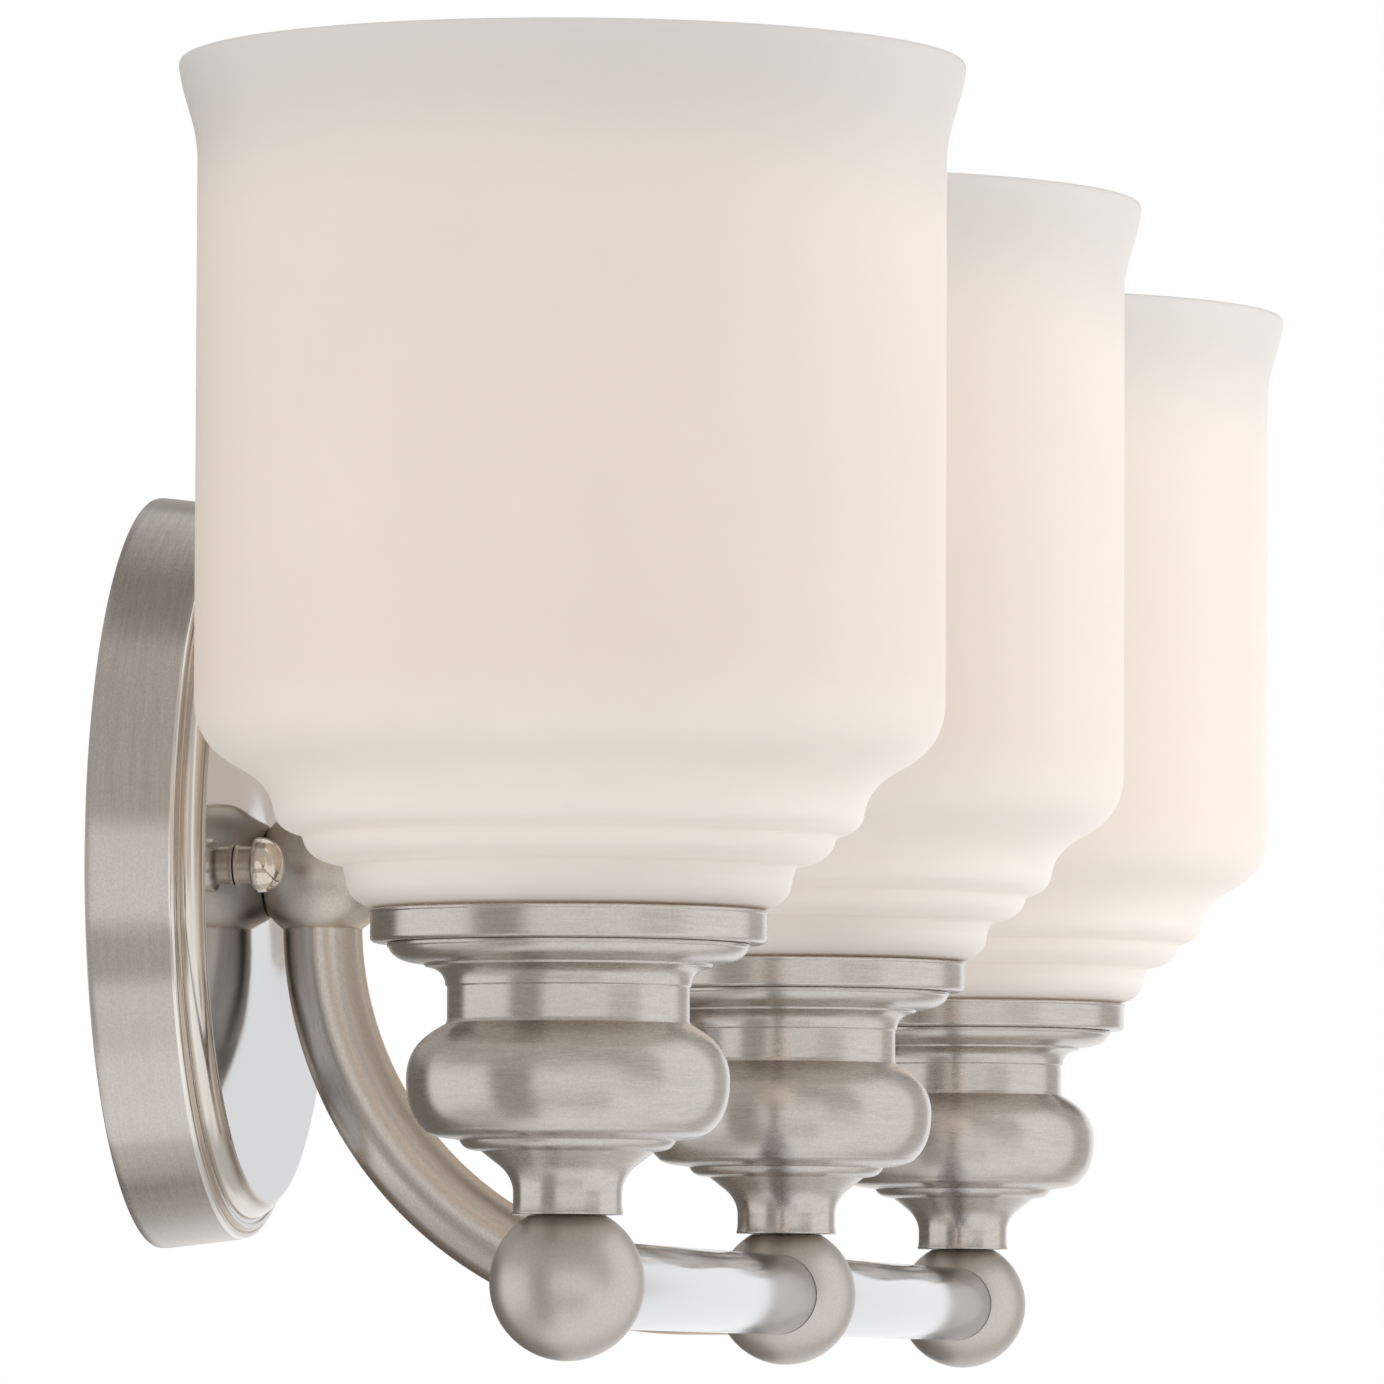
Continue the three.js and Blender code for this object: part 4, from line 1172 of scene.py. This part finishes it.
def seen_directly(t):
    """1 for what the camera sees, also in gloss and through glass, and 0 for what lights things."""
    path = t.add("ShaderNodeLightPath").outputs
    gloss = t.math("MAXIMUM", path["Is Camera Ray"], path["Is Glossy Ray"])
    return t.math("MAXIMUM", gloss, path["Is Transmission Ray"])


def flag_finish(name, color, core_across, core_upward):
    """A flag's own colour over its core, fading to nothing at its edges."""
    material = bpy.data.materials.new(name)
    material.use_nodes = True
    material.node_tree.nodes.clear()
    t = Tree(material.node_tree)
    place = t.add("ShaderNodeSeparateXYZ", Vector=t.add("ShaderNodeUVMap").outputs[0]).outputs
    across = smooth_step(t, t.math("ABSOLUTE", place["X"]), 1.0, core_across)
    upward = smooth_step(t, t.math("ABSOLUTE", place["Y"]), 1.0, core_upward)
    mixed = t.add("ShaderNodeMixShader", Fac=t.product(across, upward))
    t.put(mixed, 1, t.add("ShaderNodeBsdfTransparent").outputs[0])
    t.put(mixed, 2, t.add("ShaderNodeEmission", Color=(*color, 1)).outputs[0])
    t.add("ShaderNodeOutputMaterial", Surface=mixed.outputs[0])
    return material


def add_flag(name, azimuth, elevation, half_width, half_height, fade, grey):
    """A soft-edged flag on a sphere round the object, which shows only in the metal that reflects it."""
    steps = np.linspace(-1, 1, FLAG_STEPS + 1)
    v, u = (grid.ravel() for grid in np.meshgrid(steps, steps, indexing="ij"))
    way = direction(np.radians(azimuth + half_width * u), np.radians(elevation + half_height * v))
    row = FLAG_STEPS + 1
    starts = [i * row + j for i in range(FLAG_STEPS) for j in range(FLAG_STEPS)]
    faces = [(k, k + row, k + row + 1, k + 1) for k in starts]
    uvs = [(u[k], v[k]) for face in faces for k in face]
    flag = new_piece(name, way * FLAG_DISTANCE + object_middle(), faces, uvs, {})
    color = [grey**power for power in FLAG_WARMTH]
    flag.data.materials.append(flag_finish(name, color, 1 - fade / half_width, 1 - fade / half_height))
    flag.visible_camera = flag.visible_diffuse = flag.visible_shadow = flag.visible_transmission = False


def build_world():
    """White for the camera, for gloss and through glass; a plain grey for what lights the object."""
    world = bpy.data.worlds.new("studio")
    bpy.context.scene.world = world
    world.use_nodes = True
    t = Tree(world.node_tree)
    background = world.node_tree.nodes["Background"]
    t.put(background, "Color", (1, 1, 1, 1))
    t.put(background, "Strength", t.math("MULTIPLY_ADD", seen_directly(t), 1 - AMBIENT, AMBIENT))


def build_floor():
    """A pale floor that keeps the object's shadow and fades into the white surroundings far away."""
    level = CAD_BOX[0][2] - FLOOR_DROP
    mesh = bpy.data.meshes.new("floor")
    corners = [(x * FLOOR_HALF_WIDTH, y * FLOOR_HALF_WIDTH, level) for x, y in SQUARE]
    mesh.from_pydata(corners, [], [(0, 1, 2, 3)])
    t = Finish("pale_floor", (FLOOR_GREY,) * 3, 0.0, 0.8, {"Emission Color": (1, 1, 1, 1)})
    mottle = patches(t, 3.0, 4.0)
    t.put(t.shader, "Base Color", t.scaled(t.color, spread(t, mottle, 0.99, 1.01)))
    away = t.add("ShaderNodeVectorMath", {"operation": "LENGTH"}, Vector=object_place(t))
    far = smooth_step(t, away.outputs["Value"], *FLOOR_FADE)
    lift = t.math("MULTIPLY_ADD", far, FLOOR_FAR - FLOOR_NEAR, FLOOR_NEAR)
    t.put(t.shader, "Emission Strength", t.product(lift, seen_directly(t)))
    mesh.materials.append(t.material)
    floor = placed("floor", mesh)
    floor.visible_glossy = False


def build_studio():
    bpy.context.scene.view_settings.view_transform = "Standard"
    build_world()
    build_floor()
    for softbox in SOFTBOXES:
        add_softbox(*softbox)
    for flag in FLAGS:
        add_flag(*flag)


build_canopy()
build_bracket()
build_washer()
build_ground_screw()
build_cap_nuts()
build_rod("knuckle_thread", "knuckle_nipple", OUT_OF_WALL, *NIPPLE_THREAD)
build_nut("nipple_nut", "nipple_locknut", NIPPLE_HOLE, OUT_OF_WALL)
build_balls()
build_arm()
build_bars()
for light in LIGHTS:
    build_light(light)
place_camera()
build_studio()
